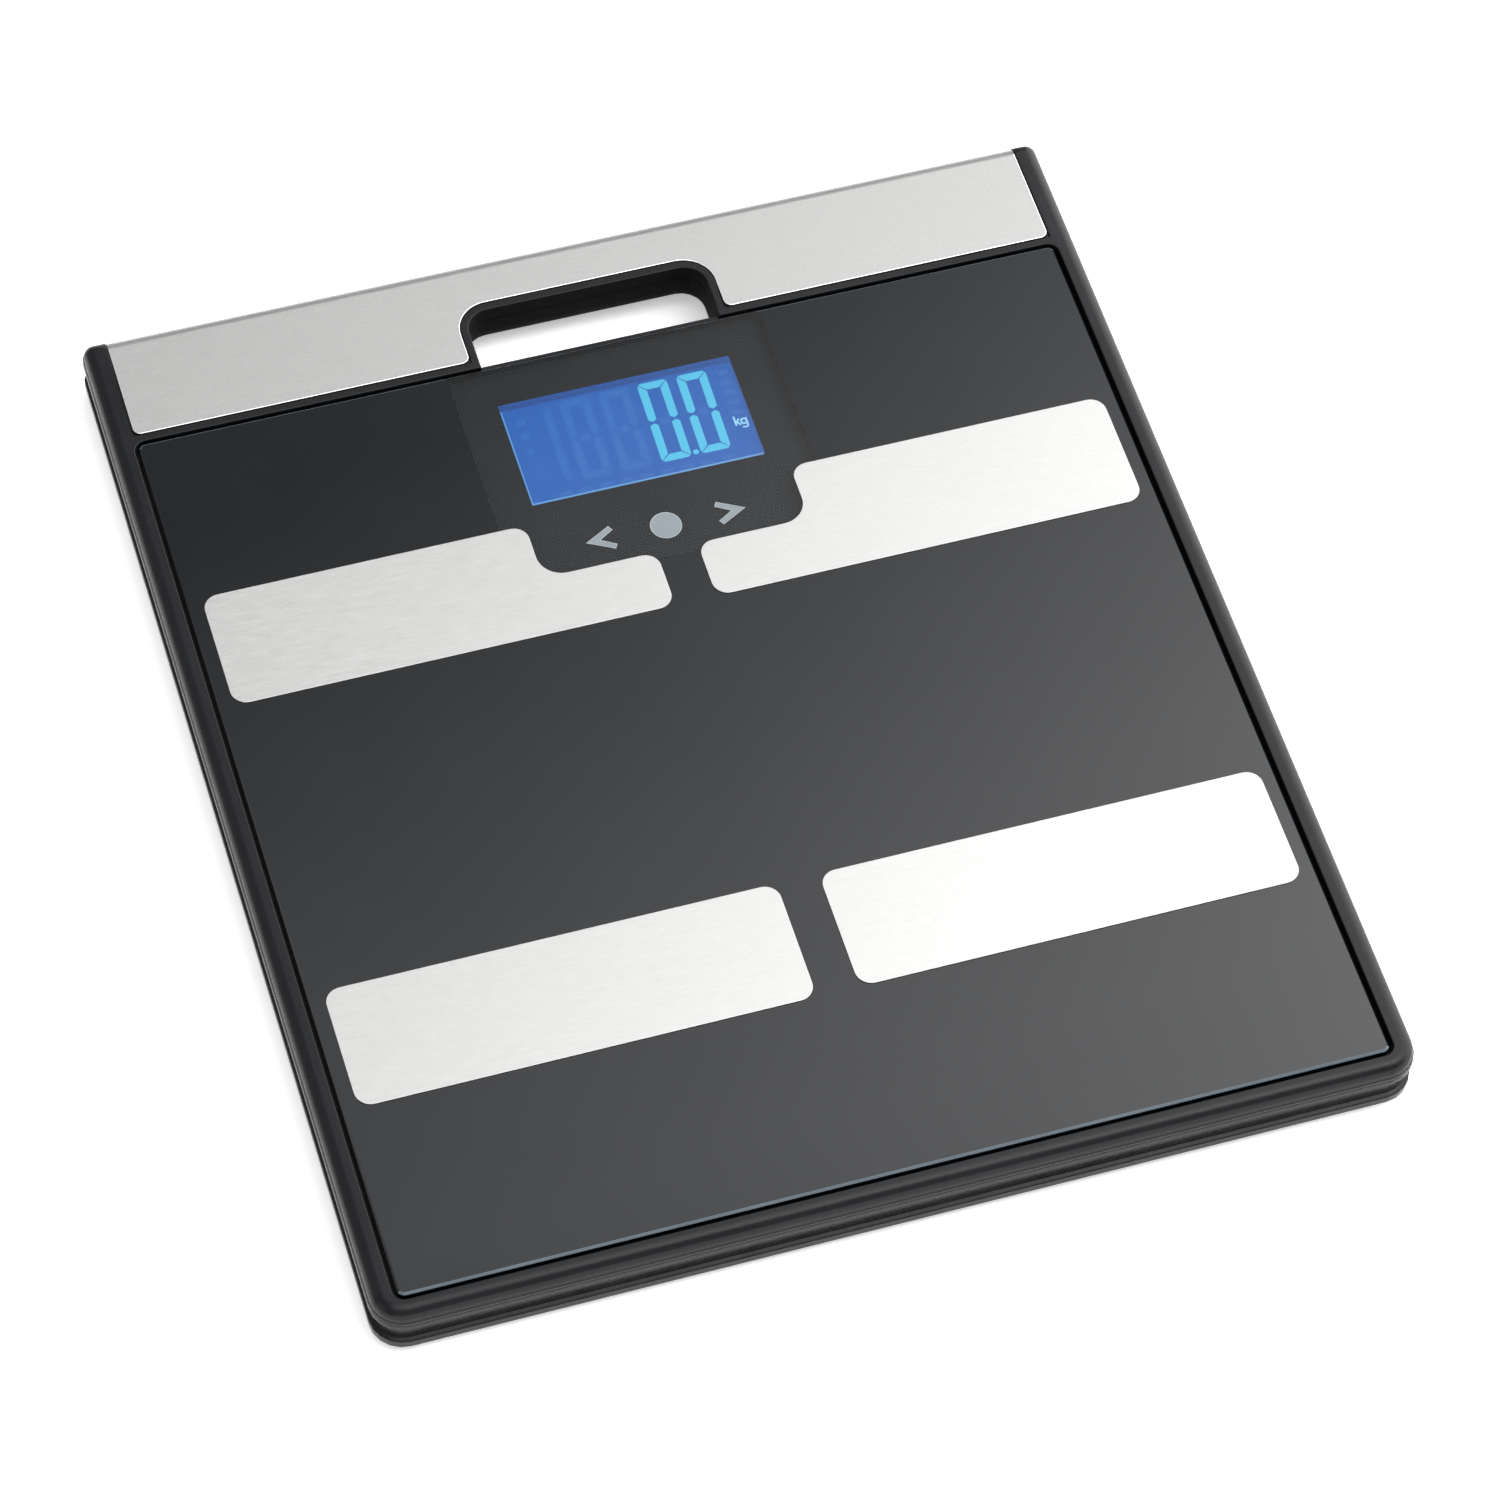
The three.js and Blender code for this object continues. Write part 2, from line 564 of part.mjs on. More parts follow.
function backPrint() {
  const margin = 0.7;
  const sheet = plate(roundedRect(
    margin - GLASS_HALF_WIDTH, GLASS_HALF_WIDTH - margin, GLASS_FRONT + margin, GLASS_BACK - margin, 2),
  Z_GASKET, Z_PRINT);
  return cut(sheet, [
    plate(roundedRect(-WINDOW_HALF_WIDTH, WINDOW_HALF_WIDTH, WINDOW_FRONT, WINDOW_BACK, 0.4), 0, FAR),
    disc(0, KEY_Y, KEY_DOT_RADIUS + 0.1, 0, FAR, 40),
    ...SIDES.map(([, sign]) => plate(chevronShape(sign, 0.1), 0, FAR)),
    ...studHoles(2.6),
  ]);
}

// arrow-head key symbol pointing to the given side
function chevronShape(sign, grow = 0) {
  const tip = KEY_TIP_X + grow * 1.6;
  const open = KEY_OPEN_X - grow;
  const half = KEY_HALF_HEIGHT + grow;
  const slope = half / (tip - open);
  const stroke = KEY_STROKE + 2 * grow;
  const run = stroke * Math.hypot(1, slope) / slope;
  const lean = stroke * slope / Math.hypot(1, slope);
  const points = [
    [tip, KEY_Y], [open + lean, KEY_Y + half - lean * slope + 0.05], [open, KEY_Y + half - stroke],
    [tip - run, KEY_Y], [open, KEY_Y - half + stroke], [open + lean, KEY_Y - half + lean * slope - 0.05],
  ];
  return polygon(points.map(([x, y]) => [sign * x, y]));
}

function glassGasket() {
  const band = 12;
  const edge = 2;
  const x = GLASS_HALF_WIDTH - edge;
  const ringShape = roundedRect(-x, x, GLASS_FRONT + edge, GLASS_BACK - edge, 3);
  ringShape.holes.push(roundedRect(
    band - x, x - band, GLASS_FRONT + edge + band, DISPLAY_Y + LCD_HALF_DEPTH + TRAY_WALL + 0.7, 3));
  return plate(ringShape, Z_DECK, Z_GASKET);
}

function nearElectrodeShape(sign) {
  const [x0, x1] = [sign * ELECTRODE_INNER, sign * ELECTRODE_OUTER].sort((a, b) => a - b);
  return roundedRect(x0, x1, NEAR_FRONT, NEAR_BACK, ELECTRODE_CORNER);
}

// L-shaped plate that leaves room for the touch keys between the pair
function farElectrode(sign) {
  const [x0, x1] = [sign * ELECTRODE_INNER, sign * ELECTRODE_OUTER].sort((a, b) => a - b);
  const whole = plate(roundedRect(x0, x1, FAR_FRONT, FAR_BACK, ELECTRODE_CORNER), Z_GLASS, electrodeTop());
  const r = ELECTRODE_CORNER;
  const f = FAR_STEP_FILLET;
  const notch = new THREE.Shape();
  notch.moveTo(0, FAR_STEP_Y - r);
  notch.lineTo(ELECTRODE_INNER, FAR_STEP_Y - r);
  notch.absarc(ELECTRODE_INNER + r, FAR_STEP_Y - r, r, Math.PI, Math.PI / 2, true);
  notch.lineTo(FAR_STEP_X - f, FAR_STEP_Y);
  notch.absarc(FAR_STEP_X - f, FAR_STEP_Y + f, f, -Math.PI / 2, 0);
  notch.lineTo(FAR_STEP_X, FAR_BACK - r);
  notch.absarc(FAR_STEP_X + r, FAR_BACK - r, r, Math.PI, Math.PI / 2, true);
  notch.lineTo(FAR_STEP_X + r, FAR_BACK + 5);
  notch.lineTo(0, FAR_BACK + 5);
  const tool = plate(notch, 0, FAR);
  return whole.subtract(sign > 0 ? tool : tool.mirror([1, 0, 0]));
}

const electrodeTop = () => Z_GLASS + ELECTRODE_THICKNESS;

function electrode(place, sign) {
  const sheet = place.name === 'near'
    ? plate(nearElectrodeShape(sign), Z_GLASS, electrodeTop())
    : farElectrode(sign);
  return sheet.add(disc(sign * place.x, place.y, STUD.radius, STUD.bottom, Z_GLASS + 0.2, 12));
}

// ---- handle trim ----
function trimShape() {
  const half = TRIM_HALF_WIDTH;
  const r = TRIM_CORNER;
  const c = CUTOUT_CORNER;
  const shape = new THREE.Shape();
  shape.moveTo(r - half, TRIM_FRONT);
  shape.lineTo(-CUTOUT_HALF_WIDTH - r, TRIM_FRONT);
  shape.absarc(-CUTOUT_HALF_WIDTH - r, TRIM_FRONT + r, r, -Math.PI / 2, 0);
  shape.lineTo(-CUTOUT_HALF_WIDTH, CUTOUT_BACK - c);
  shape.absarc(c - CUTOUT_HALF_WIDTH, CUTOUT_BACK - c, c, Math.PI, Math.PI / 2, true);
  shape.lineTo(CUTOUT_HALF_WIDTH - c, CUTOUT_BACK);
  shape.absarc(CUTOUT_HALF_WIDTH - c, CUTOUT_BACK - c, c, Math.PI / 2, 0, true);
  shape.lineTo(CUTOUT_HALF_WIDTH, TRIM_FRONT + r);
  shape.absarc(CUTOUT_HALF_WIDTH + r, TRIM_FRONT + r, r, Math.PI, 1.5 * Math.PI);
  shape.lineTo(half - r, TRIM_FRONT);
  shape.absarc(half - r, TRIM_FRONT + r, r, -Math.PI / 2, 0);
  shape.lineTo(half, HALF_DEPTH + 5);
  shape.lineTo(-half, HALF_DEPTH + 5);
  shape.lineTo(-half, TRIM_FRONT + r);
  shape.absarc(r - half, TRIM_FRONT + r, r, Math.PI, 1.5 * Math.PI);
  return shape;
}

// sheet that lies flat on the bar and bends down over its back edge
function handleTrim() {
  const centreY = TRIM_BACK - TRIM_BEND;
  const centreZ = TRIM_TOP - TRIM_BEND;
  const inner = TRIM_BEND - TRIM_THICKNESS;
  const section = new THREE.Shape();
  section.moveTo(TRIM_FRONT - 1, TRIM_TOP - TRIM_THICKNESS);
  section.lineTo(centreY, TRIM_TOP - TRIM_THICKNESS);
  section.absarc(centreY, centreZ, inner, Math.PI / 2, 0, true);
  section.lineTo(TRIM_BACK - TRIM_THICKNESS, TRIM_BOTTOM);
  section.lineTo(TRIM_BACK, TRIM_BOTTOM);
  section.lineTo(TRIM_BACK, centreZ);
  section.absarc(centreY, centreZ, TRIM_BEND, 0, Math.PI / 2);
  section.lineTo(TRIM_FRONT - 1, TRIM_TOP);
  return bar(section, -TRIM_HALF_WIDTH - 1, TRIM_HALF_WIDTH + 1).intersect(plate(trimShape(), 0, FAR));
}

// double-sided tape under the flat of the trim
function trimTape() {
  const margin = 3;
  const strip = box(
    margin - TRIM_HALF_WIDTH, TRIM_HALF_WIDTH - margin, TRIM_FRONT + margin, TRIM_BACK - TRIM_BEND - 1,
    TRIM_TOP - TRIM_THICKNESS - GAP, TRIM_TOP - TRIM_THICKNESS);
  const half = CUTOUT_HALF_WIDTH + margin;
  return strip.subtract(box(-half, half, 0, CUTOUT_BACK + margin, 0, FAR));
}

// ---- display ----
function lcdTray() {
  const shape = (grow, radius) => (
    centredRect(LCD_HALF_WIDTH + grow, DISPLAY_Y, LCD_HALF_DEPTH + grow, radius));
  const floor = Z_LCD - LCD_THICKNESS - BACKLIGHT_THICKNESS;
  return cut(plate(shape(TRAY_WALL, 1), Z_FLOOR, Z_LCD), [
    plate(shape(GAP, 0.3), floor, FAR),
    plate(shape(0, 0.3), 0, floor - 1.5),
    box(-20.4, 20.4, BOARD.back, DISPLAY_Y - 10, 11.5, 12.7),
  ]);
}

function lcdBezel() {
  const shape = centredRect(LCD_HALF_WIDTH + TRAY_WALL, DISPLAY_Y, LCD_HALF_DEPTH + TRAY_WALL, 1);
  shape.holes.push(roundedRect(
    -WINDOW_HALF_WIDTH - 0.4, WINDOW_HALF_WIDTH + 0.4, WINDOW_FRONT - 0.4, WINDOW_BACK + 0.4, 0.5));
  return plate(shape, Z_LCD, Z_GASKET - 0.1);
}

const lcdBlock = (low, high) => box(
  -LCD_HALF_WIDTH, LCD_HALF_WIDTH, DISPLAY_Y - LCD_HALF_DEPTH, DISPLAY_Y + LCD_HALF_DEPTH, low, high);

const lcdPanel = () => lcdBlock(Z_LCD - LCD_THICKNESS, Z_LCD);

const lcdBacklight = () => lcdBlock(Z_LCD - LCD_THICKNESS - BACKLIGHT_THICKNESS, Z_LCD - LCD_THICKNESS);

// ---- electronics ----
function mainBoard() {
  const blank = plate(roundedRect(
    -BOARD.halfWidth, BOARD.halfWidth, BOARD.front, BOARD.back, 2), BOARD.bottom, Z_BOARD);
  const holes = [-1, 1].flatMap((sign) => [BOARD.front + 4, BOARD.back - 4].map((y) => (
    disc(sign * (BOARD.halfWidth - 4), y, 1.5, 0, FAR, 12))));
  return cut(blank, holes);
}

const sensorBoard = () => plate(centredRect(
  SENSOR_BOARD_HALF_WIDTH, KEY_Y, SENSOR_BOARD_HALF_DEPTH, 1), Z_GASKET - 0.8, Z_GASKET);

// ---- weighing feet ----
const footCup = ({ x, y }) => turned(x, y, [
  [0, 1.8], [PAD_RADIUS + 0.4, 1.8], [PAD_RADIUS + 0.4, 0.9], [FOOT_RADIUS - 0.5, 0.9], [FOOT_RADIUS, 1.5],
  [FOOT_RADIUS, 4.7], [FOOT_FLANGE, 4.7], [FOOT_FLANGE, 5.7], [5, 5.7], [5, 6.2], [0, 6.2],
], 28);

const footPad = ({ x, y }) => turned(x, y, [
  [0, 0], [PAD_RADIUS - 0.6, 0], [PAD_RADIUS, 0.6], [PAD_RADIUS, 1.8], [0, 1.8],
], 28);

// stamped steel cell: a square frame whose middle tongue bends under the foot's boss
function loadCell({ x, y }) {
  const half = CELL_SIDE / 2;
  const shape = roundedRect(-half, half, -half, half, 3);
  shape.holes.push(polygon([
    [-11, -10], [-11, 11], [11, 11], [11, -10], [8, -10], [8, 8], [-8, 8], [-8, -10],
  ]));
  return plate(shape, CELL_BOTTOM, CELL_TOP, 5).translate([x, y, 0]);
}

// ---- battery bay pieces ----
function batteryDoor() {
  const front = BAY_Y - DOOR_HALF_DEPTH;
  const top = Z_UNDER + DOOR_THICKNESS;
  const section = new THREE.Shape();
  section.moveTo(front, Z_UNDER);
  section.lineTo(DOOR_AXIS_Y, Z_UNDER);
  section.absarc(DOOR_AXIS_Y, DOOR_AXIS_Z, DOOR_EDGE, -Math.PI / 2, 0);
  section.lineTo(DOOR_AXIS_Y + DOOR_EDGE, top);
  section.lineTo(front, top);
  const tabs = [-1, 1].map((sign) => box(
    sign * DOOR_TAB_X - DOOR_TAB_WIDTH / 2, sign * DOOR_TAB_X + DOOR_TAB_WIDTH / 2,
    DOOR_AXIS_Y, DOOR_AXIS_Y + 2.8, top - 0.6, top));
  const latch = box(-4, 4, front + 1.4, front + 2.4, top - 0.5, Z_UNDER + 4);
  return join([bar(section, -DOOR_HALF_WIDTH, DOOR_HALF_WIDTH), ...tabs, latch]);
}

const coinCell = (sign) => turned(sign * COIN_X, BAY_Y - 2, [
  [0, COIN_BOTTOM], [COIN_RADIUS - 0.4, COIN_BOTTOM], [COIN_RADIUS, COIN_BOTTOM + 0.4],
  [COIN_RADIUS, COIN_BOTTOM + 2.5], [COIN_RADIUS - 1.2, COIN_BOTTOM + 2.6],
  [COIN_RADIUS - 1.2, COIN_BOTTOM + COIN_THICKNESS], [0, COIN_BOTTOM + COIN_THICKNESS],
]);

// leaf across the tops of both cells, and the strip beside them
const topContact = () => box(-18, 18, BAY_Y - 5, BAY_Y + 1, COIN_BOTTOM + COIN_THICKNESS, BAY_ROOF - 0.1);
const sideContact = () => box(-18, 18, BAY_Y + 8.4, BAY_Y + 8.8, COIN_BOTTOM, BAY_ROOF - 0.2);

const unitButton = () => turned(BUTTON.x, BUTTON.y, [
  [0, Z_UNDER + 0.4], [BUTTON.radius - 0.5, Z_UNDER + 0.4], [BUTTON.radius, Z_UNDER + 0.9],
  [BUTTON.radius, 4.7], [BUTTON.flange, 4.7], [BUTTON.flange, 5.4], [2, 5.4], [2, 9], [0, 9],
], 24);

const caseScrew = ([x, y]) => turned(x, y, [
  [0, SCREW.headBottom], [SCREW.head - 0.6, SCREW.headBottom], [SCREW.head, SCREW.headBottom + 0.6],
  [SCREW.head, SCREW.headTop], [SCREW.shank, SCREW.headTop],
  [SCREW.shank, SCREW.top - 0.8], [0.3, SCREW.top],
  [0, SCREW.top],
], 12);

// ---- wiring ----
function cellCable({ x, y, sign }, end) {
  const start = x - sign * (CELL_SIDE / 2 + GAP);
  const lane = sign * (y < 0 ? 84 : 76);
  const points = y < 0
    ? [
      [start, y, CELL_CABLE_Z], [start - sign * 12, y, CELL_CABLE_Z], [lane, y + 24, CELL_CABLE_Z],
      [lane, -60, CELL_CABLE_Z], [lane, 10, CELL_CABLE_Z], [lane - sign * 10, end, CABLE_Z],
      [sign * 52, end, CABLE_Z], [sign * 46.4, end, CABLE_Z],
    ]
    : [
      [start, y, CELL_CABLE_Z], [start - sign * 12, y, CELL_CABLE_Z], [lane, y - 14, CELL_CABLE_Z],
      [lane - sign * 6, end + 8, CABLE_Z], [sign * 54, end, CABLE_Z], [sign * 46.4, end, CABLE_Z],
    ];
  return cable(points, 0.8, y < 0 ? 22 : 12);
}

const batteryLead = (sign) => cable([
  [sign * 6, BAY_Y + 19, CELL_CABLE_Z], [sign * 6, BAY_Y + 26, CELL_CABLE_Z + 1],
  [sign * 9, 14, CABLE_Z], [sign * 9, 32, CABLE_Z],
], 0.5, 8);

// ---- assembly ----
const group = new THREE.Group();

function place(name, solid, finish) {
  const mesh = new THREE.Mesh(toGeometry(solid), new THREE.MeshStandardMaterial(FINISHES[finish]));
  mesh.name = name;
  group.add(mesh);
}

place('upper_frame', upperFrame(), 'casing');
place('lower_shell', lowerShell(), 'casing');
place('glass_platform', glassPlatform(), 'glass');
place('back_print', backPrint(), 'backPrint');
place('glass_gasket', glassGasket(), 'foam');
place('handle_trim', handleTrim(), 'steel');
place('trim_tape', trimTape(), 'foam');
place('blank_label', blankLabel(), 'whitePlastic');

for (const [side, sign] of SIDES) {
  for (const row of studPlaces()) {
    place(`electrode_${row.name}_${side}`, electrode(row, sign), 'steel');
  }
  place(`key_arrow_${side}`, plate(chevronShape(sign), Z_GASKET, Z_PRINT), 'keyPrint');
  place(`coin_cell_${side}`, coinCell(sign), 'cell');
  place(`battery_lead_${side}`, batteryLead(sign), sign < 0 ? 'blackCable' : 'redCable');
  const plug = [sign * 40, sign * 46].sort((a, b) => a - b);
  place(`cell_plug_${side}`, box(...plug, 34, 56, Z_BOARD, Z_BOARD + 2), 'whitePlastic');
}
place('key_dot', disc(0, KEY_Y, KEY_DOT_RADIUS, Z_GASKET, Z_PRINT, 40), 'keyPrint');

place('lcd_tray', lcdTray(), 'greyPlastic');
place('lcd_bezel', lcdBezel(), 'whitePlastic');
place('lcd_panel', lcdPanel(), 'display');
place('lcd_backlight', lcdBacklight(), 'whitePlastic');
const ribbonBack = DISPLAY_Y - LCD_HALF_DEPTH - GAP;
place('lcd_ribbon', box(-20, 20, BOARD.back - 0.7, ribbonBack, 11.9, 12.2), 'contact');
place('ribbon_connector', box(-21, 21, BOARD.back - 6, BOARD.back - 1, Z_BOARD, 13.2), 'whitePlastic');

place('main_board', mainBoard(), 'board');
place('controller_chip', box(5, 15, 44, 54, BOARD.bottom - 1.2, BOARD.bottom), 'chip');
place('sensor_board', sensorBoard(), 'board');
place('sensor_header', box(-8, 8, KEY_Y - 5.5, KEY_Y - 2.5, Z_BOARD, Z_GASKET - 0.8), 'chip');
const [switchX, switchY] = [BUTTON.x, BUTTON.y];
place(
  'unit_switch',
  box(switchX - 3, switchX + 3, switchY - 3, switchY + 3, 9.7, BOARD.bottom),
  'chip');
place('unit_button', unitButton(), 'greyPlastic');

place('battery_door', batteryDoor(), 'casing');
place('contact_top', topContact(), 'contact');
place('contact_side', sideContact(), 'contact');

for (const foot of footPlaces()) {
  place(`foot_cup_${foot.name}`, footCup(foot), 'greyPlastic');
  place(`foot_pad_${foot.name}`, footPad(foot), 'rubber');
  place(`load_cell_${foot.name}`, loadCell(foot), 'cellSteel');
  place(`cell_cable_${foot.name}`, cellCable(foot, foot.y < 0 ? 40 : 50), 'whiteCable');
}

screwPlaces().forEach((at, i) => place(`case_screw_${i + 1}`, caseScrew(at), 'cellSteel'));

export default group;
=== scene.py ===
"""Looks of the digital bathroom scale, built round its frame. Metres, +Z up, +Y towards the handle."""

import json
import math

import bmesh
import bpy
from mathutils import Matrix, Vector


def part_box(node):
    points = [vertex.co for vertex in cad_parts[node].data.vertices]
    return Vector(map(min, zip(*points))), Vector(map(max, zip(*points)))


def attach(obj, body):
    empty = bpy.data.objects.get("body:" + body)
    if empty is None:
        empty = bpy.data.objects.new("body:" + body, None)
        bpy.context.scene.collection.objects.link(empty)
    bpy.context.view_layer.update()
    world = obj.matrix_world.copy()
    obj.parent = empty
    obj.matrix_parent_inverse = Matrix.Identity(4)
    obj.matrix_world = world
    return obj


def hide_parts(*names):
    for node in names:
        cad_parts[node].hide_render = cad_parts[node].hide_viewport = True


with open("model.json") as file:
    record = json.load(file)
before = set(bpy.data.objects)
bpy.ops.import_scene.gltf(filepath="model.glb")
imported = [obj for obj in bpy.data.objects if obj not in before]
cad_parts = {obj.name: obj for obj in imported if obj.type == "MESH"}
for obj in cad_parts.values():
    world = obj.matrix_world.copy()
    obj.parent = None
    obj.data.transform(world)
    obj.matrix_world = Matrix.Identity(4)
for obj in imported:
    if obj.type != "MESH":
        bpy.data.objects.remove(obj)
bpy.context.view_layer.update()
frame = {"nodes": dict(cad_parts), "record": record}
MM = 0.001

# ---- places, read from the frame ----
GLASS_LOW, GLASS_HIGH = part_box("glass_platform")
PRINT_LOW, PRINT_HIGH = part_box("back_print")
LCD_LOW, LCD_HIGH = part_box("lcd_panel")
CASING_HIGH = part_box("upper_frame")[1]
HAND_LOW, HAND_HIGH = [Vector(corner) for corner in frame["record"]["physics"]["openings"][0]["box_m"]]
SIDES = ("left", "right")
FEET = [f"{row}_{side}" for row in ("front", "back") for side in SIDES]


# ======================= node helpers =======================
class Tree:
    """A material's node tree, with short calls for the nodes that repeat."""

    def __init__(self, name):
        self.material = bpy.data.materials.new(name)
        self.material.use_nodes = True
        self.nodes = self.material.node_tree.nodes
        self.links = self.material.node_tree.links
        self.surface = self.nodes["Principled BSDF"]
        self.output = self.nodes["Material Output"]

    def add(self, kind, **settings):
        node = self.nodes.new(kind)
        for key, value in settings.items():
            setattr(node, key, value)
        return node

    def link(self, source, target):
        self.links.new(source, target)

    def set(self, **values):
        for key, value in values.items():
            self.surface.inputs[key.replace("_", " ")].default_value = value

    def coords(self, scale=(1, 1, 1)):
        """Object coordinates in metres, multiplied by scale."""
        where = self.add("ShaderNodeTexCoord")
        mapping = self.add("ShaderNodeMapping")
        mapping.inputs["Scale"].default_value = scale
        self.link(where.outputs["Object"], mapping.inputs["Vector"])
        return mapping.outputs["Vector"]

    def noise(self, scale, detail=3, roughness=0.55, stretch=(1, 1, 1)):
        node = self.add("ShaderNodeTexNoise")
        node.inputs["Scale"].default_value = scale
        node.inputs["Detail"].default_value = detail
        node.inputs["Roughness"].default_value = roughness
        self.link(self.coords(stretch), node.inputs["Vector"])
        return node.outputs["Fac"]

    def spread(self, value, low, high, start=0.3, end=0.7):
        """value from start..end spread over low..high."""
        node = self.add("ShaderNodeMapRange")
        node.inputs["From Min"].default_value = start
        node.inputs["From Max"].default_value = end
        node.inputs["To Min"].default_value = low
        node.inputs["To Max"].default_value = high
        self.link(value, node.inputs["Value"])
        return node.outputs["Result"]

    def math(self, operation, first, second):
        node = self.add("ShaderNodeMath", operation=operation)
        for socket, value in zip(node.inputs, (first, second)):
            if isinstance(value, (int, float)):
                socket.default_value = value
            else:
                self.link(value, socket)
        return node.outputs["Value"]

    def blend(self, factor, first, second):
        """A colour between two colours or colour sockets."""
        node = self.add("ShaderNodeMix", data_type="RGBA")
        self.link(factor, node.inputs["Factor"])
        for name, value in (("A", first), ("B", second)):
            socket = [s for s in node.inputs if s.name == name and s.type == "RGBA"][0]
            if isinstance(value, (tuple, list)):
                socket.default_value = (*value, 1)
            else:
                self.link(value, socket)
        return [s for s in node.outputs if s.type == "RGBA"][0]

    def bump(self, heights, distances):
        """Bumps laid over each other, each with its own depth in metres."""
        normal = None
        for height, distance in zip(heights, distances):
            node = self.add("ShaderNodeBump")
            node.inputs["Strength"].default_value = 1
            node.inputs["Distance"].default_value = distance
            self.link(height, node.inputs["Height"])
            if normal is not None:
                self.link(normal, node.inputs["Normal"])
            normal = node.outputs["Normal"]
        self.link(normal, self.surface.inputs["Normal"])

    def colour(self, socket):
        self.link(socket, self.surface.inputs["Base Color"])

    def roughness(self, socket):
        self.link(socket, self.surface.inputs["Roughness"])


# ======================= materials =======================
def moulded_plastic(name, dark, light, rough=(0.36, 0.5), grain=0.000012, edge=0.0, sheen=0.3):
    """Textured moulding: spark-eroded grain, slow colour drift, and paler sharp edges that are partly
    rubbing and partly a painted edge highlight.
    """
    tree = Tree(name)
    drift = tree.noise(22, 2)
    grain_fine = tree.noise(2600, 2, 0.6)
    grain_coarse = tree.noise(900, 3, 0.6)
    base = tree.blend(tree.spread(drift, 0, 1), dark, light)
    # Paler sharp edges, picked out by pointiness and made patchy by noise: partly rubbing, partly a painted
    # edge highlight.
    if edge:
        geometry = tree.add("ShaderNodeNewGeometry")
        rubbing_and_highlight = tree.spread(geometry.outputs["Pointiness"], 0, edge, 0.53, 0.62)
        rubbed_and_lit_colour = tuple(min(1, c * 3 + 0.03) for c in light)
        base = tree.blend(tree.math("MULTIPLY", rubbing_and_highlight, tree.spread(tree.noise(140), 0, 1)), base, rubbed_and_lit_colour)
    tree.colour(base)
    tree.roughness(tree.spread(tree.math("ADD", grain_coarse, tree.spread(drift, -0.1, 0.1)), *rough))
    tree.bump([grain_coarse, grain_fine], [grain * 1.6, grain])
    tree.surface.inputs["Specular IOR Level"].default_value = sheen
    return tree.material


STEEL_TINT = (1.0, 1.0, 0.99)
GRAIN_DEPTHS = (0.0001, 0.00006, 0.00008)


def brushed_steel(name, base, rough, streak, mottle):
    """Steel sheet with grain along X: long streaks, short scratches and a faint mottle."""
    tree = Tree(name)
    tree.set(Metallic=1.0)
    streaks = tree.noise(130, 3, 0.6, (1, 26, 26))
    scratches = tree.noise(420, 3, 0.6, (1, 12, 12))
    fine = tree.noise(1300, 2, 0.7)
    tone = tree.math("ADD", tree.spread(streaks, -streak, streak), tree.spread(scratches, -streak, streak))
    tone = tree.math("ADD", tone, tree.spread(fine, -mottle, mottle))
    shade = tree.spread(tone, 0, 1, -0.25, 0.25)
    low = tuple(base * 0.82 * c for c in STEEL_TINT)
    high = tuple(min(1, base * 1.14 * c) for c in STEEL_TINT)
    tree.colour(tree.blend(shade, low, high))
    tree.roughness(tree.spread(tree.math("ADD", streaks, tree.spread(fine, -0.1, 0.1)), *rough))
    amounts = (streak, streak, mottle)
    tree.bump([streaks, scratches, fine], [depth * amount for depth, amount in zip(GRAIN_DEPTHS, amounts)])
    return tree.material


def clear_glass(name):
    """Tempered pane. Lamps pass through it, so what lies behind it is lit."""
    tree = Tree(name)
    tree.set(Base_Color=(0.93, 0.965, 0.97, 1), IOR=1.45, Transmission_Weight=1.0)
    smudge = tree.noise(26, 4, 0.6)
    tree.roughness(tree.spread(smudge, 0.0, 0.035, 0.45, 0.8))
    rays = tree.add("ShaderNodeLightPath")
    clear = tree.add("ShaderNodeBsdfTransparent")
    clear.inputs["Color"].default_value = (0.88, 0.92, 0.92, 1)
    mix = tree.add("ShaderNodeMixShader")
    tree.link(rays.outputs["Is Shadow Ray"], mix.inputs["Fac"])
    tree.link(tree.surface.outputs["BSDF"], mix.inputs[1])
    tree.link(clear.outputs["BSDF"], mix.inputs[2])
    tree.link(mix.outputs["Shader"], tree.output.inputs["Surface"])
    return tree.material


def inked_glass(name, dark, light, rough, ripple=0.0):
    """Polished glass with black ink fired on its back: a dark body under a clear reflection."""
    tree = Tree(name)
    cloud = tree.noise(30, 4)
    tree.set(IOR=1.45)
    tree.colour(tree.blend(tree.spread(cloud, 0, 1), dark, light))
    smudge = tree.noise(24, 4, 0.6)
    tree.roughness(tree.spread(smudge, *rough, 0.4, 0.8))
    if ripple:
        tree.bump([tree.noise(2200, 2)], [ripple])
    return tree.material


def fired_ink(name):
    """Black ink on the back of the glass, very slightly cloudy."""
    tree = Tree(name)
    cloud = tree.noise(35, 4)
    tree.colour(tree.blend(tree.spread(cloud, 0, 1), (0.012, 0.014, 0.017), (0.016, 0.018, 0.021)))
    tree.surface.inputs["Specular IOR Level"].default_value = 0.0
    tree.roughness(tree.spread(tree.noise(700), 0.6, 0.75))
    return tree.material


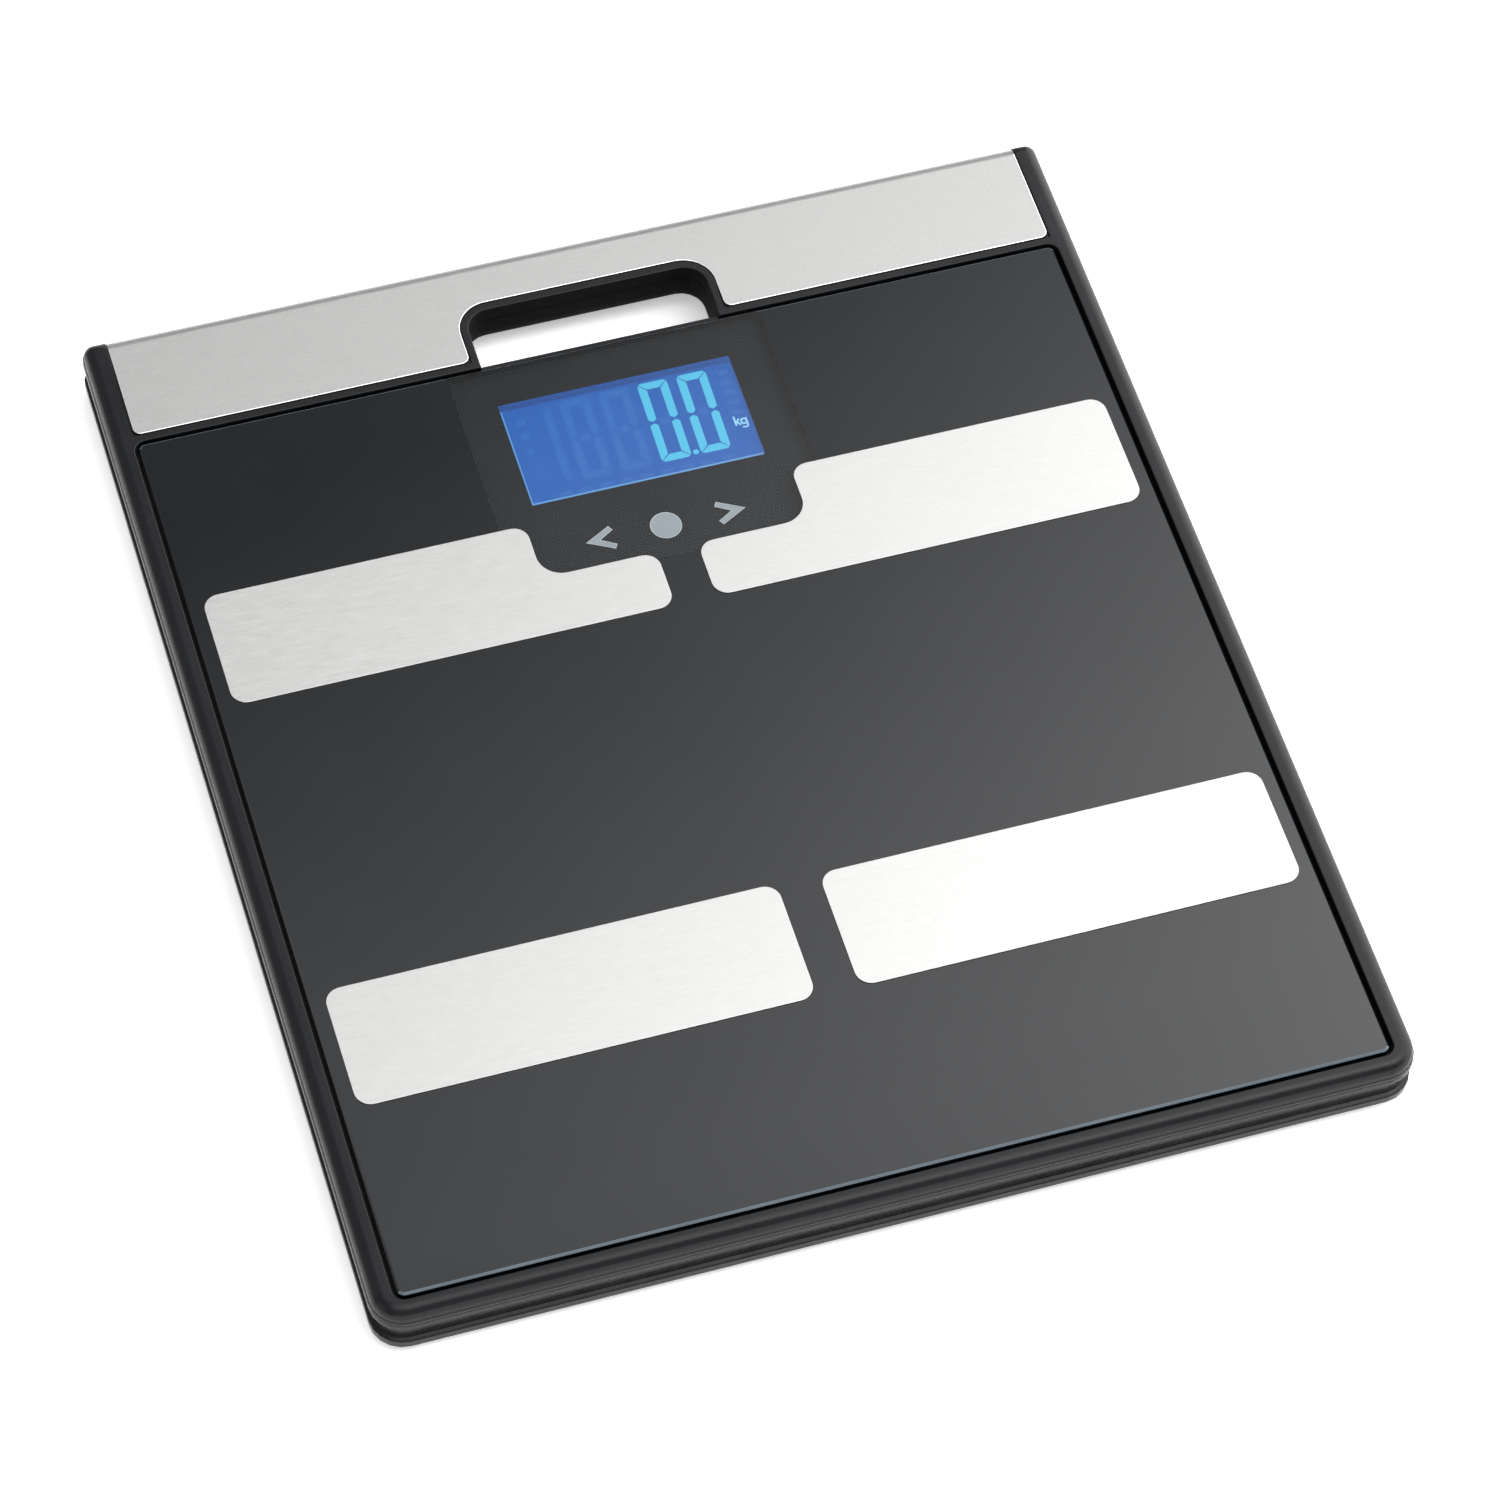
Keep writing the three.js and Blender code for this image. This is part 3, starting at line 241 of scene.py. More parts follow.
def glowing(name, left, right, strength, cloud=0.06):
    """Back-lit liquid crystal: an even glow that drifts from left to right, with a fine cloud."""
    tree = Tree(name)
    where = tree.add("ShaderNodeSeparateXYZ")
    tree.link(tree.coords(), where.inputs["Vector"])
    across = tree.spread(where.outputs["X"], 0, 1, LCD_LOW.x, LCD_HIGH.x)
    clouds = tree.spread(tree.noise(420, 4, 0.65), -cloud, cloud)
    colour = tree.blend(tree.math("ADD", across, clouds), left, right)
    tree.link(colour, tree.surface.inputs["Emission Color"])
    unlit_left, unlit_right = (tuple(c * 0.2 for c in side) for side in (left, right))
    tree.colour(tree.blend(tree.spread(clouds, 0, 1, -1, 1), unlit_left, unlit_right))
    tree.set(Emission_Strength=strength, Roughness=0.5)
    tree.surface.inputs["Specular IOR Level"].default_value = 0.0
    return tree.material


def rubber(name):
    """Matte black rubber with a dusty bloom."""
    tree = Tree(name)
    bloom = tree.noise(90, 4)
    tree.colour(tree.blend(tree.spread(bloom, 0, 1), (0.016, 0.016, 0.017), (0.035, 0.035, 0.034)))
    tree.roughness(tree.spread(tree.noise(1500), 0.75, 0.95))
    tree.bump([tree.noise(1800, 3)], [0.00003])
    return tree.material


def foam(name):
    """Closed-cell foam tape."""
    tree = Tree(name)
    cells = tree.add("ShaderNodeTexVoronoi")
    cells.inputs["Scale"].default_value = 2500
    tree.link(tree.coords(), cells.inputs["Vector"])
    tree.colour(tree.blend(cells.outputs["Distance"], (0.02, 0.02, 0.02), (0.05, 0.05, 0.05)))
    tree.roughness(tree.spread(tree.noise(900), 0.85, 1.0))
    tree.bump([cells.outputs["Distance"]], [0.00005])
    return tree.material


def key_ink(name, dark, light):
    """Silver-grey ink with a fine metallic fleck."""
    tree = Tree(name)
    fleck = tree.noise(2400, 2, 0.7)
    tree.colour(tree.blend(tree.spread(fleck, 0, 1), dark, light))
    tree.set(Metallic=0.25)
    tree.roughness(tree.spread(tree.noise(500), 0.4, 0.55))
    return tree.material


def plain_sheen(name, dark, light, metallic=0.0, rough=(0.35, 0.5), scale=400, bump=0.000008):
    """Small inner parts: two tones with a fine surface."""
    tree = Tree(name)
    tone = tree.noise(scale, 3)
    tree.set(Metallic=metallic)
    tree.colour(tree.blend(tree.spread(tone, 0, 1), dark, light))
    tree.roughness(tree.spread(tree.noise(scale * 3), *rough))
    tree.bump([tone], [bump])
    return tree.material


def circuit_board(name):
    """Green solder mask with copper tracks showing through."""
    tree = Tree(name)
    tracks = tree.add("ShaderNodeTexBrick")
    tracks.inputs["Scale"].default_value = 260
    tracks.inputs["Mortar Size"].default_value = 0.06
    tracks.inputs["Color1"].default_value = (0.012, 0.09, 0.035, 1)
    tracks.inputs["Color2"].default_value = (0.016, 0.11, 0.045, 1)
    tracks.inputs["Mortar"].default_value = (0.03, 0.2, 0.08, 1)
    tree.link(tree.coords(), tracks.inputs["Vector"])
    tree.colour(tracks.outputs["Color"])
    tree.roughness(tree.spread(tree.noise(300), 0.25, 0.4))
    tree.bump([tracks.outputs["Fac"]], [0.00003])
    return tree.material


def make_materials():
    """One material for each slot of the record, and the extra ones of pieces made here."""
    return {
        "casing": moulded_plastic(
            "casing_plastic", (0.004, 0.0045, 0.0055), (0.006, 0.0065, 0.0078),
            rough=(0.24, 0.34), grain=0.000006, edge=0.12, sheen=0.22),
        # A darker, rougher copy of the casing plastic for the hand opening's walls; its darker colour is
        # painted shade.
        "casing_painted_shade": moulded_plastic(
            "casing_plastic_painted_shade", (0.002, 0.002, 0.0022), (0.003, 0.003, 0.0034),
            rough=(0.7, 0.85), grain=0.00001, sheen=0.08),
        # A much paler copy of the trim steel for its rounded edges: a painted highlight.
        "trim_edge_highlight": brushed_steel("trim_steel_painted_highlight", 0.95, (0.2, 0.3), 0.03, 0.03),
        "glass": clear_glass("tempered_glass"),
        "inked_glass": inked_glass(
            "inked_tempered_glass", (0.002, 0.003, 0.0045), (0.0035, 0.0045, 0.006), (0.012, 0.04)),
        # Pale colour of the front and back chamfer: a painted highlight for the light the polished chamfer
        # reflects.
        "chamfer_painted_highlight": inked_glass(
            "glass_chamfer_painted_highlight", (0.09, 0.115, 0.138), (0.12, 0.148, 0.172), (0.3, 0.45), 0.00001),
        "back_print": fired_ink("fired_black_ink"),
        "foam": foam("foam_tape"),
        "trim_steel": brushed_steel("trim_brushed_steel", 0.405, (0.36, 0.46), 0.04, 0.09),
        "electrode_steel": brushed_steel("electrode_brushed_steel", 0.48, (0.3, 0.4), 0.06, 0.015),
        "label": plain_sheen("blank_label_film", (0.5, 0.51, 0.52), (0.58, 0.59, 0.6), 0.3),
        "key_print": key_ink("key_silver_ink", (0.24, 0.27, 0.295), (0.3, 0.33, 0.355)),
        "key_edge": key_ink("key_edge_ink", (0.4, 0.43, 0.45), (0.47, 0.5, 0.52)),
        "coin_cell": plain_sheen("nickel_plate", (0.6, 0.61, 0.62), (0.72, 0.72, 0.72), 1.0, (0.18, 0.3)),
        "black_cable": plain_sheen("black_pvc", (0.012, 0.012, 0.012), (0.02, 0.02, 0.02)),
        "red_cable": plain_sheen("red_pvc", (0.4, 0.02, 0.015), (0.5, 0.03, 0.02)),
        "white_cable": plain_sheen("white_pvc", (0.6, 0.61, 0.6), (0.7, 0.7, 0.69)),
        "white_plastic": plain_sheen("white_moulding", (0.68, 0.69, 0.7), (0.78, 0.79, 0.8)),
        "grey_plastic": moulded_plastic("grey_moulding", (0.07, 0.071, 0.074), (0.1, 0.101, 0.105)),
        "display": glowing("lcd_glow", (0.0, 0.085, 0.375), (0.0, 0.09, 0.38), 1.0),
        "contact_metal": plain_sheen(
            "spring_bronze", (0.6, 0.47, 0.25), (0.74, 0.6, 0.36), 1.0, (0.2, 0.34)),
        "circuit_board": circuit_board("solder_mask"),
        "chip": plain_sheen("moulded_epoxy", (0.012, 0.012, 0.013), (0.022, 0.022, 0.024)),
        "foot_plastic": moulded_plastic(
            "foot_moulding", (0.022, 0.0225, 0.024), (0.032, 0.0325, 0.034), edge=0.3),
        "rubber": rubber("anti_slip_rubber"),
        "cell_steel": plain_sheen("dull_nickel", (0.36, 0.36, 0.37), (0.46, 0.46, 0.47), 1.0, (0.35, 0.5)),
        "screw_steel": plain_sheen(
            "black_oxide", (0.03, 0.03, 0.032), (0.06, 0.06, 0.062), 0.9, (0.3, 0.45)),
        "segment": glowing("lcd_segment_glow", (0.06, 0.44, 0.66), (0.07, 0.45, 0.67), 1.0, 0.2),
        "ghost": glowing("lcd_ghost_glow", (0.008, 0.108, 0.405), (0.014, 0.115, 0.41), 1.0),
        "unit_glow": glowing("lcd_unit_glow", (0.27, 0.56, 0.78), (0.29, 0.58, 0.8), 1.0),
        # A darker glow: painted shade along the far and right edges of the display.
        "painted_shade_band": glowing("lcd_painted_shade_band", (0.0, 0.05, 0.25), (0.0, 0.055, 0.26), 1.0),
        "rim_glow": glowing("lcd_rim_glow", (0.07, 0.26, 0.56), (0.12, 0.29, 0.56), 1.0),
        "bezel_glow": glowing("lit_bezel", (0.0, 0.06, 0.28), (0.0, 0.065, 0.29), 1.0),
    }


MATERIALS = make_materials()
PIECE_NAME = {"lcd_bezel": "lcd_bezel_moulding"}
SLOT_OF = {entry["node"]: entry["material_slot"] for entry in frame["record"]["subparts"]}


# ======================= mesh helpers =======================
def finish_mesh(piece, slot, body, replaces=(), materials=None, sharp=32):
    """Gives a piece its material, smooth shading with crisp edges, and its body."""
    mesh = piece.data
    parts = [face.material_index for face in mesh.polygons]
    mesh.materials.clear()
    for name in materials or [slot]:
        mesh.materials.append(MATERIALS[name])
    mesh.polygons.foreach_set("material_index", parts)
    mesh.shade_smooth()
    mesh.set_sharp_from_angle(angle=math.radians(sharp))
    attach(piece, body)
    if replaces:
        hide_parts(*replaces)
    return piece


def piece_from(name, bm):
    bmesh.ops.recalc_face_normals(bm, faces=bm.faces)
    mesh = bpy.data.meshes.new(name)
    bm.to_mesh(mesh)
    bm.free()
    piece = bpy.data.objects.new(name, mesh)
    bpy.context.scene.collection.objects.link(piece)
    return piece


def soften(piece, width, segments):
    """Rounds the sharp edges of a moulded or sheared piece."""
    bevel = piece.modifiers.new("soft_edges", "BEVEL")
    bevel.width = width
    bevel.segments = segments
    bevel.limit_method = "ANGLE"
    bevel.angle_limit = math.radians(32)
    bevel.harden_normals = False
    bevel.use_clamp_overlap = True
    weight = piece.modifiers.new("flat_faces", "WEIGHTED_NORMAL")
    weight.keep_sharp = True
    return piece


def bake_modifiers(piece):
    """Turns a piece's modifiers into its mesh."""
    bpy.context.view_layer.update()
    graph = bpy.context.evaluated_depsgraph_get()
    mesh = bpy.data.meshes.new_from_object(piece.evaluated_get(graph))
    piece.modifiers.clear()
    piece.data = mesh
    return piece


def refined(node, width, segments=2, body="casing", opening_shade_slot=None):
    """A CAD node's shape as its own piece, with flat faces made whole and edges rounded."""
    bm = bmesh.new()
    bm.from_mesh(frame["nodes"][node].data)
    bmesh.ops.remove_doubles(bm, verts=bm.verts, dist=1e-6)
    bmesh.ops.dissolve_limit(bm, angle_limit=math.radians(0.6), verts=bm.verts, edges=bm.edges)
    slot = SLOT_OF[node]
    # The hand opening's faces take the second slot, which on the lower shell is the darker copy that paints
    # shade.
    if opening_shade_slot:
        for face in bm.faces:
            face.material_index = 1 if in_opening(face) else 0
    piece = piece_from(PIECE_NAME.get(node, node + "_shell"), bm)
    finish_mesh(piece, slot, body, [node], [slot, opening_shade_slot or slot])
    return soften(piece, width, segments)


def in_opening(face):
    """Whether a face is part of the hand opening's wall."""
    middle = face.calc_center_median()
    return (
        abs(middle.x) < HAND_HIGH.x + 5 * MM and HAND_LOW.y - 3 * MM < middle.y < HAND_HIGH.y + 9 * MM
        and face.normal.z < 0.6
    )


CRISP_ANGLE = math.radians(40)
CRISP_DEPTH = 0.05 * MM


def crisp(node, width, segments, edge_slot=None):
    """A CAD node's shape as its own piece, with the sharp edges of its top face rounded to a set width."""
    bm = bmesh.new()
    bm.from_mesh(frame["nodes"][node].data)
    bmesh.ops.remove_doubles(bm, verts=bm.verts, dist=1e-6)
    bmesh.ops.dissolve_limit(bm, angle_limit=math.radians(0.6), verts=bm.verts, edges=bm.edges)
    top = max(vert.co.z for vert in bm.verts)
    edges = [
        edge for edge in bm.edges
        if len(edge.link_faces) == 2 and edge.calc_face_angle() > CRISP_ANGLE
        and all(vert.co.z > top - CRISP_DEPTH for vert in edge.verts)
    ]
    rounded = bmesh.ops.bevel(
        bm, geom=edges, offset=width, segments=segments, profile=0.5, affect="EDGES", clamp_overlap=False)
    # Rounded faces take the second material; for the trim it is the paler steel that paints a highlight
    # along its edges.
    for face in rounded["faces"]:
        face.material_index = 1
    # On the casing the hand opening's faces take the second material, for the upper frame the darker copy
    # that paints shade.
    if SLOT_OF[node] == "casing":
        for face in bm.faces:
            face.material_index = 1 if in_opening(face) else 0
    piece = piece_from(node + "_shell", bm)
    finish_mesh(piece, SLOT_OF[node], "casing", [node], [SLOT_OF[node], edge_slot or SLOT_OF[node]])
    weight = piece.modifiers.new("flat_faces", "WEIGHTED_NORMAL")
    weight.keep_sharp = True
    return piece


def arc(x, y, radius, start, end, steps):
    """Points of an arc, in degrees."""
    angles = [math.radians(start + (end - start) * i / steps) for i in range(steps + 1)]
    return [(x + radius * math.cos(a), y + radius * math.sin(a)) for a in angles]


def rounded_rect(x0, x1, y0, y1, radius, steps=14):
    left, right, front, back = x0 + radius, x1 - radius, y0 + radius, y1 - radius
    return (
        arc(right, front, radius, -90, 0, steps) + arc(right, back, radius, 0, 90, steps)
        + arc(left, back, radius, 90, 180, steps) + arc(left, front, radius, 180, 270, steps)
    )


def skin(name, rings):
    """A mesh through rings of equal point counts, capped at both ends."""
    bm = bmesh.new()
    loops = [[bm.verts.new(point) for point in ring] for ring in rings]
    for lower, upper in zip(loops, loops[1:]):
        for i in range(len(lower)):
            j = (i + 1) % len(lower)
            bm.faces.new((lower[i], lower[j], upper[j], upper[i]))
    bm.faces.new(list(reversed(loops[0])))
    bm.faces.new(loops[-1])
    return piece_from(name, bm)


def turned(name, x, y, profile, sides=96):
    """A profile of (radius, height) points turned about a vertical axis. It starts and ends on the axis."""
    bm = bmesh.new()
    rings = []
    for radius, height in profile:
        if radius == 0:
            rings.append([bm.verts.new((x, y, height))])
            continue
        turns = [2 * math.pi * i / sides for i in range(sides)]
        points = [(x + radius * math.cos(a), y + radius * math.sin(a), height) for a in turns]
        rings.append([bm.verts.new(point) for point in points])
    for lower, upper in zip(rings, rings[1:]):
        for i in range(sides):
            j = (i + 1) % sides
            corners = [lower[k % len(lower)] for k in (i, j)] + [upper[k % len(upper)] for k in (j, i)]
            bm.faces.new(list(dict.fromkeys(corners)))
    return piece_from(name, bm)


# ======================= platform =======================
CLEAR_MARGIN = 9 * MM


def glass_pane():
    """Pane with a chamfer round its top edge, pale along the front and back as a painted highlight. It is
    clear round the display and keys and backed with ink elsewhere. Its underside lies inside the ink layer,
    as fired ink has no gap."""
    arris, chamfer, corner = 0.4 * MM, 0.7 * MM, 2.4 * MM
    base = (PRINT_LOW.z + PRINT_HIGH.z) / 2
    levels = [(arris, base), (0, base + arris), (0, GLASS_HIGH.z - chamfer), (chamfer, GLASS_HIGH.z)]
    rings = []
    for inset, height in levels:
        low, high = GLASS_LOW, GLASS_HIGH
        outline = rounded_rect(low.x + inset, high.x - inset, low.y + inset, high.y - inset, corner - inset)
        rings.append([(x, y, height) for x, y in outline])
    clear_low = Vector((LCD_LOW.x - CLEAR_MARGIN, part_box("key_dot")[0].y - CLEAR_MARGIN, 0))
    clear_high = Vector((LCD_HIGH.x + CLEAR_MARGIN, LCD_HIGH.y + CLEAR_MARGIN, 0))
    pane = skin("glass_pane", rings)
    bm = bmesh.new()
    bm.from_mesh(pane.data)
    for place, normal in (
        (clear_low, (1, 0, 0)), (clear_low, (0, 1, 0)), (clear_high, (1, 0, 0)), (clear_high, (0, 1, 0))
    ):
        everything = list(bm.verts) + list(bm.edges) + list(bm.faces)
        bmesh.ops.bisect_plane(bm, geom=everything, dist=1e-7, plane_co=place, plane_no=normal)
    for face in bm.faces:
        middle = face.calc_center_median()
        inside = clear_low.x < middle.x < clear_high.x and clear_low.y < middle.y < clear_high.y
        # Sloping chamfer faces at front and back take the pale chamfer colour, a painted highlight.
        sloping = 0.3 < face.normal.z < 0.95 and abs(face.normal.y) > 0.3
        face.material_index = 0 if inside else 2 if sloping else 1
    bm.to_mesh(pane.data)
    bm.free()
    looks = ["glass", "inked_glass", "chamfer_painted_highlight"]
    finish_mesh(pane, "glass", "casing", ["glass_platform"], looks, sharp=20)


def key_symbols():
    """Key symbols: the CAD shapes, each with a paler printed edge."""
    for node in ("key_arrow_left", "key_dot", "key_arrow_right"):
        bm = bmesh.new()
        bm.from_mesh(frame["nodes"][node].data)
        bmesh.ops.remove_doubles(bm, verts=bm.verts, dist=1e-6)
        bmesh.ops.dissolve_limit(bm, angle_limit=math.radians(0.6), verts=bm.verts, edges=bm.edges)
        top = [face for face in bm.faces if face.normal.z > 0.9]
        bmesh.ops.inset_region(bm, faces=top, thickness=0.28 * MM)
        bm.faces.ensure_lookup_table()
        inner = max((face for face in bm.faces if face.normal.z > 0.9), key=lambda face: face.calc_area())
        for face in bm.faces:
            face.material_index = 0 if face is inner else 1
        symbol = piece_from(node + "_ink", bm)
        finish_mesh(symbol, "key_print", "casing", [node], ["key_print", "key_edge"])


# ======================= display =======================
DIGIT = {
    "height": 31.3 * MM, "width": 9.7 * MM, "stroke": 2.65 * MM, "gap": 0.32 * MM, "pitch": 12.8 * MM,
    "lean": 0.022, "first_x": 6.4 * MM, "y": 91.3 * MM,
}
UNIT = {"x": 32.6 * MM, "y": 98.9 * MM, "rise": 2.5 * MM, "full": 3.6 * MM, "stroke": 0.6 * MM}
SEGMENT_RISE = 0.03 * MM


def segment_outlines(x, y):
    """Outlines of the seven bars of a digit whose lower left corner is at x, y, keyed a to g."""
    w, h, s, g = DIGIT["width"], DIGIT["height"], DIGIT["stroke"], DIGIT["gap"]
    half = h / 2
    cut = 1.0 * MM
    tip = 0.9 * MM
    bars = {
        "a": [
            (g + cut, h), (w - g - cut, h), (w - g, h - cut * 0.5),
            (w - s - g, h - s), (s + g, h - s), (g, h - cut * 0.5)],
        "d": [
            (g, cut * 0.5), (s + g, s), (w - s - g, s), (w - g, cut * 0.5), (w - g - cut, 0), (g + cut, 0)],
        "f": [
            (0, h - cut * 1.3), (0, half + tip + g), (s * 0.5, half + g), (s, half + tip + g),
            (s, h - s - g), (cut * 0.35, h - cut * 0.75)],
        "e": [
            (0, cut * 1.3), (cut * 0.35, cut * 0.75), (s, s + g), (s, half - tip - g), (s * 0.5, half - g),
            (0, half - tip - g)],
        "g": [
            (s + g, half), (s + g + tip, half + s / 2), (w - s - g - tip, half + s / 2),
            (w - s - g, half), (w - s - g - tip, half - s / 2), (s + g + tip, half - s / 2)],
    }
    bars["b"] = [(w - px, py) for px, py in bars["f"]]
    bars["c"] = [(w - px, py) for px, py in bars["e"]]
    lean = DIGIT["lean"]
    return {key: [(x + px + py * lean, y + py) for px, py in points] for key, points in bars.items()}


def box_outline(x0, x1, y0, y1):
    return [(x0, y0), (x1, y0), (x1, y1), (x0, y1)]


def flat_marks(name, outlines, slot_material, rise=SEGMENT_RISE):
    """Thin glowing marks just above the liquid crystal."""
    bm = bmesh.new()
    low, high = LCD_HIGH.z + rise, LCD_HIGH.z + 2 * rise
    for outline in outlines:
        lower = [bm.verts.new((x, y, low)) for x, y in outline]
        upper = [bm.verts.new((x, y, high)) for x, y in outline]
        bm.faces.new(upper)
        bm.faces.new(list(reversed(lower)))
        for i in range(len(outline)):
            j = (i + 1) % len(outline)
            bm.faces.new((lower[i], lower[j], upper[j], upper[i]))
    marks = piece_from(name, bm)
    finish_mesh(marks, "display", "casing", materials=[slot_material])


def wave(x0, x1, y, swing, thickness, steps=16):
    """A wavy stripe."""
    upper = []
    lower = []
    for i in range(steps + 1):
        x = x0 + (x1 - x0) * i / steps
        height = y + swing * math.sin(3 * math.pi * i / steps)
        upper.append((x, height + thickness / 2))
        lower.append((x, height - thickness / 2))
    return lower + list(reversed(upper))


def stroke(points, width):
    """A line of even width through points, as an outline."""
    left, right = [], []
    for i, (x, y) in enumerate(points):
        before = Vector(points[max(i - 1, 0)])
        after = Vector(points[min(i + 1, len(points) - 1)])
        along = (after - before).normalized()
        side = Vector((-along.y, along.x)) * width / 2
        left.append((x + side.x, y + side.y))
        right.append((x - side.x, y - side.y))
    return left + list(reversed(right))


def unit_marks():
    """The unit kg beside the digits, drawn in strokes."""
    x, y, width = UNIT["x"], UNIT["y"], UNIT["stroke"]
    rise, full = UNIT["rise"], UNIT["full"]
    k_leg, bowl, g_x = x + 1.9 * MM, 0.82 * MM, x + 3.0 * MM
    tail_y = y - 0.5 * MM
    marks = [
        stroke([(x + width / 2, y), (x + width / 2, y + full)], width),
        stroke([(x + width * 0.9, y + rise * 0.42), (k_leg - width * 0.4, y + rise)], width),
        stroke([(x + width * 1.2, y + rise * 0.62), (k_leg - width * 0.2, y)], width),
        stroke([(g_x + bowl * 1.15, y + rise), (g_x + bowl * 1.15, tail_y)], width),
    ]
    middle = y + rise / 2
    oval = [(g_x + px * bowl, middle + py * (rise - width) / 2) for px, py in arc(0, 0, 1, 40, 320, 18)]
    hook = [(g_x + px * bowl * 1.15, tail_y + py * bowl * 0.75) for px, py in arc(0, 0, 1, 0, -150, 10)]
    flat_marks("lcd_unit_mark", marks + [stroke(oval, width), stroke(hook, width)], "unit_glow")


def lcd_rims_and_painted_shade():
    """Darker bands along the far and right edges of the panel, painted shade where the window's walls would
    be seen, and the bright rims that the light guide shows at its left and near edges.
    """
    low, high = LCD_LOW, LCD_HIGH
    top, left, right, bottom = 123.6 * MM, -36.7 * MM, 38.0 * MM, 86.7 * MM
    # Painted shade: darker bands along the far and right edges, where the window's walls would be seen.
    flat_marks("lcd_top_painted_shade", [box_outline(low.x, high.x, top, high.y)], "painted_shade_band")
    flat_marks("lcd_side_painted_shade", [box_outline(right, high.x, low.y, top)], "painted_shade_band")
    flat_marks("lcd_left_rim", [box_outline(low.x, left, low.y, top)], "rim_glow")
    flat_marks("lcd_near_rim", [box_outline(left, right, low.y, bottom)], "rim_glow")


def display():
    """The lit reading 0.0, the unlit bars that show faintly, and the glowing bezel round them."""
    first = DIGIT["first_x"]
    y = DIGIT["y"]
    lit = []
    for column in (0, 1):
        bars = segment_outlines(first + column * DIGIT["pitch"], y)
        lit += [bars[key] for key in "abcdef"]
    point = arc(first + 11.3 * MM, y + 1.2 * MM, 0.95 * MM, 0, 345, 23)
    flat_marks("lcd_digits", lit + [point], "segment")
    unit_marks()
    lcd_rims_and_painted_shade()

    ghosts = []
    for column, keys in ((-1, "abcdefg"), (-2, "abcdefg"), (-3, "bc")):
        bars = segment_outlines(first + column * DIGIT["pitch"], y)
        ghosts += [bars[key] for key in keys]
    for column in (0, 1):
        ghosts.append(segment_outlines(first + column * DIGIT["pitch"], y)["g"])
    left = -34.6 * MM
    ghosts += [wave(left, left + 5.4 * MM, y + (3.5 + 1.6 * i) * MM, 0.35 * MM, 0.5 * MM) for i in range(4)]
    for i in range(3):
        ghosts.append(arc(left + 2.7 * MM, y + (15 + 6 * i) * MM, 1.5 * MM, 0, 345, 23))
    for i in range(5):
        base = y + (12 + 4 * i) * MM
        ghosts.append(box_outline(33 * MM, 36.2 * MM, base, base + 1.6 * MM))
    for i in range(9):
        x = (-28 + 6.6 * i) * MM
        ghosts.append(box_outline(x, x + 4 * MM, y - 4.2 * MM, y - 2.7 * MM))
    flat_marks("lcd_unlit_marks", ghosts, "ghost", SEGMENT_RISE * 0.5)
    refined("lcd_bezel", 0.15 * MM).data.materials[0] = MATERIALS["bezel_glow"]


# ======================= underside =======================
def feet():
    """Foot cups, and pads with two grooves in the tread."""
    for foot in FEET:
        refined(f"foot_cup_{foot}", 0.35 * MM, 3, body=f"foot_{foot}")
        low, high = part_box(f"foot_pad_{foot}")
        x, y = (low.x + high.x) / 2, (low.y + high.y) / 2
        radius = (high.x - low.x) / 2
        groove, slope, wide = 0.5 * MM, 0.15 * MM, MM
        profile = [(0, low.z)]
        for at in (4.5 * MM, 8.5 * MM):
            profile += [(at, low.z), (at + slope, low.z + groove)]
            profile += [(at + wide - slope, low.z + groove), (at + wide, low.z)]
        profile += [(radius - 0.6 * MM, low.z), (radius - 0.18 * MM, low.z + 0.16 * MM)]
        profile += [(radius, low.z + 0.6 * MM)]
        profile += [(radius, high.z), (0, high.z)]
        pad = turned(f"foot_tread_{foot}", x, y, profile)
        finish_mesh(pad, "rubber", f"foot_{foot}", [f"foot_pad_{foot}"])


def screw(index):
    """Case screw with a rounded head and a cross recess, seen from below."""
    node = f"case_screw_{index}"
    low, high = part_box(node)
    x, y = (low.x + high.x) / 2, (low.y + high.y) / 2
    head = (high.x - low.x) / 2
    shank, head_top = 1.2 * MM, low.z + 1.7 * MM
    profile = [(0, low.z), (head * 0.55, low.z + 0.06 * MM), (head * 0.85, low.z + 0.3 * MM)]
    profile += [(head, low.z + 0.8 * MM), (head, head_top)]
    profile += [(shank, head_top), (shank, high.z - 0.8 * MM), (0, high.z)]
    piece = turned(f"screw_{index}", x, y, profile, 40)
    arm, half, depth = 1.5 * MM, 0.38 * MM, 1.0 * MM
    cross = []
    for quarter in range(4):
        turn = Matrix.Rotation(math.radians(90 * quarter + 17 * index), 2)
        cross += [turn @ Vector(point) for point in ((half, half), (half, arm), (-half, arm))]
    tip = (low.z + depth, low.z - 0.5 * MM)
    rings = [[(x + p.x * grow, y + p.y * grow, z) for p in cross] for z, grow in zip(tip, (0.7, 1.15))]
    cutter = skin(f"cross_tool_{index}", rings)
    recess = piece.modifiers.new("recess", "BOOLEAN")
    recess.object = cutter
    recess.solver = "EXACT"
    bake_modifiers(piece)
    bpy.data.objects.remove(cutter)
    finish_mesh(piece, "screw_steel", "casing", [node])


def underside():
    refined("lower_shell", 0.28 * MM, 2, opening_shade_slot="casing_painted_shade")
    refined("battery_door", 0.18 * MM, 2, body="battery_door")
    refined("unit_button", 0.25 * MM, 3, body="unit_button")
    refined("blank_label", 0.05 * MM, 1)
    feet()
    for index in range(1, 9):
        screw(index)


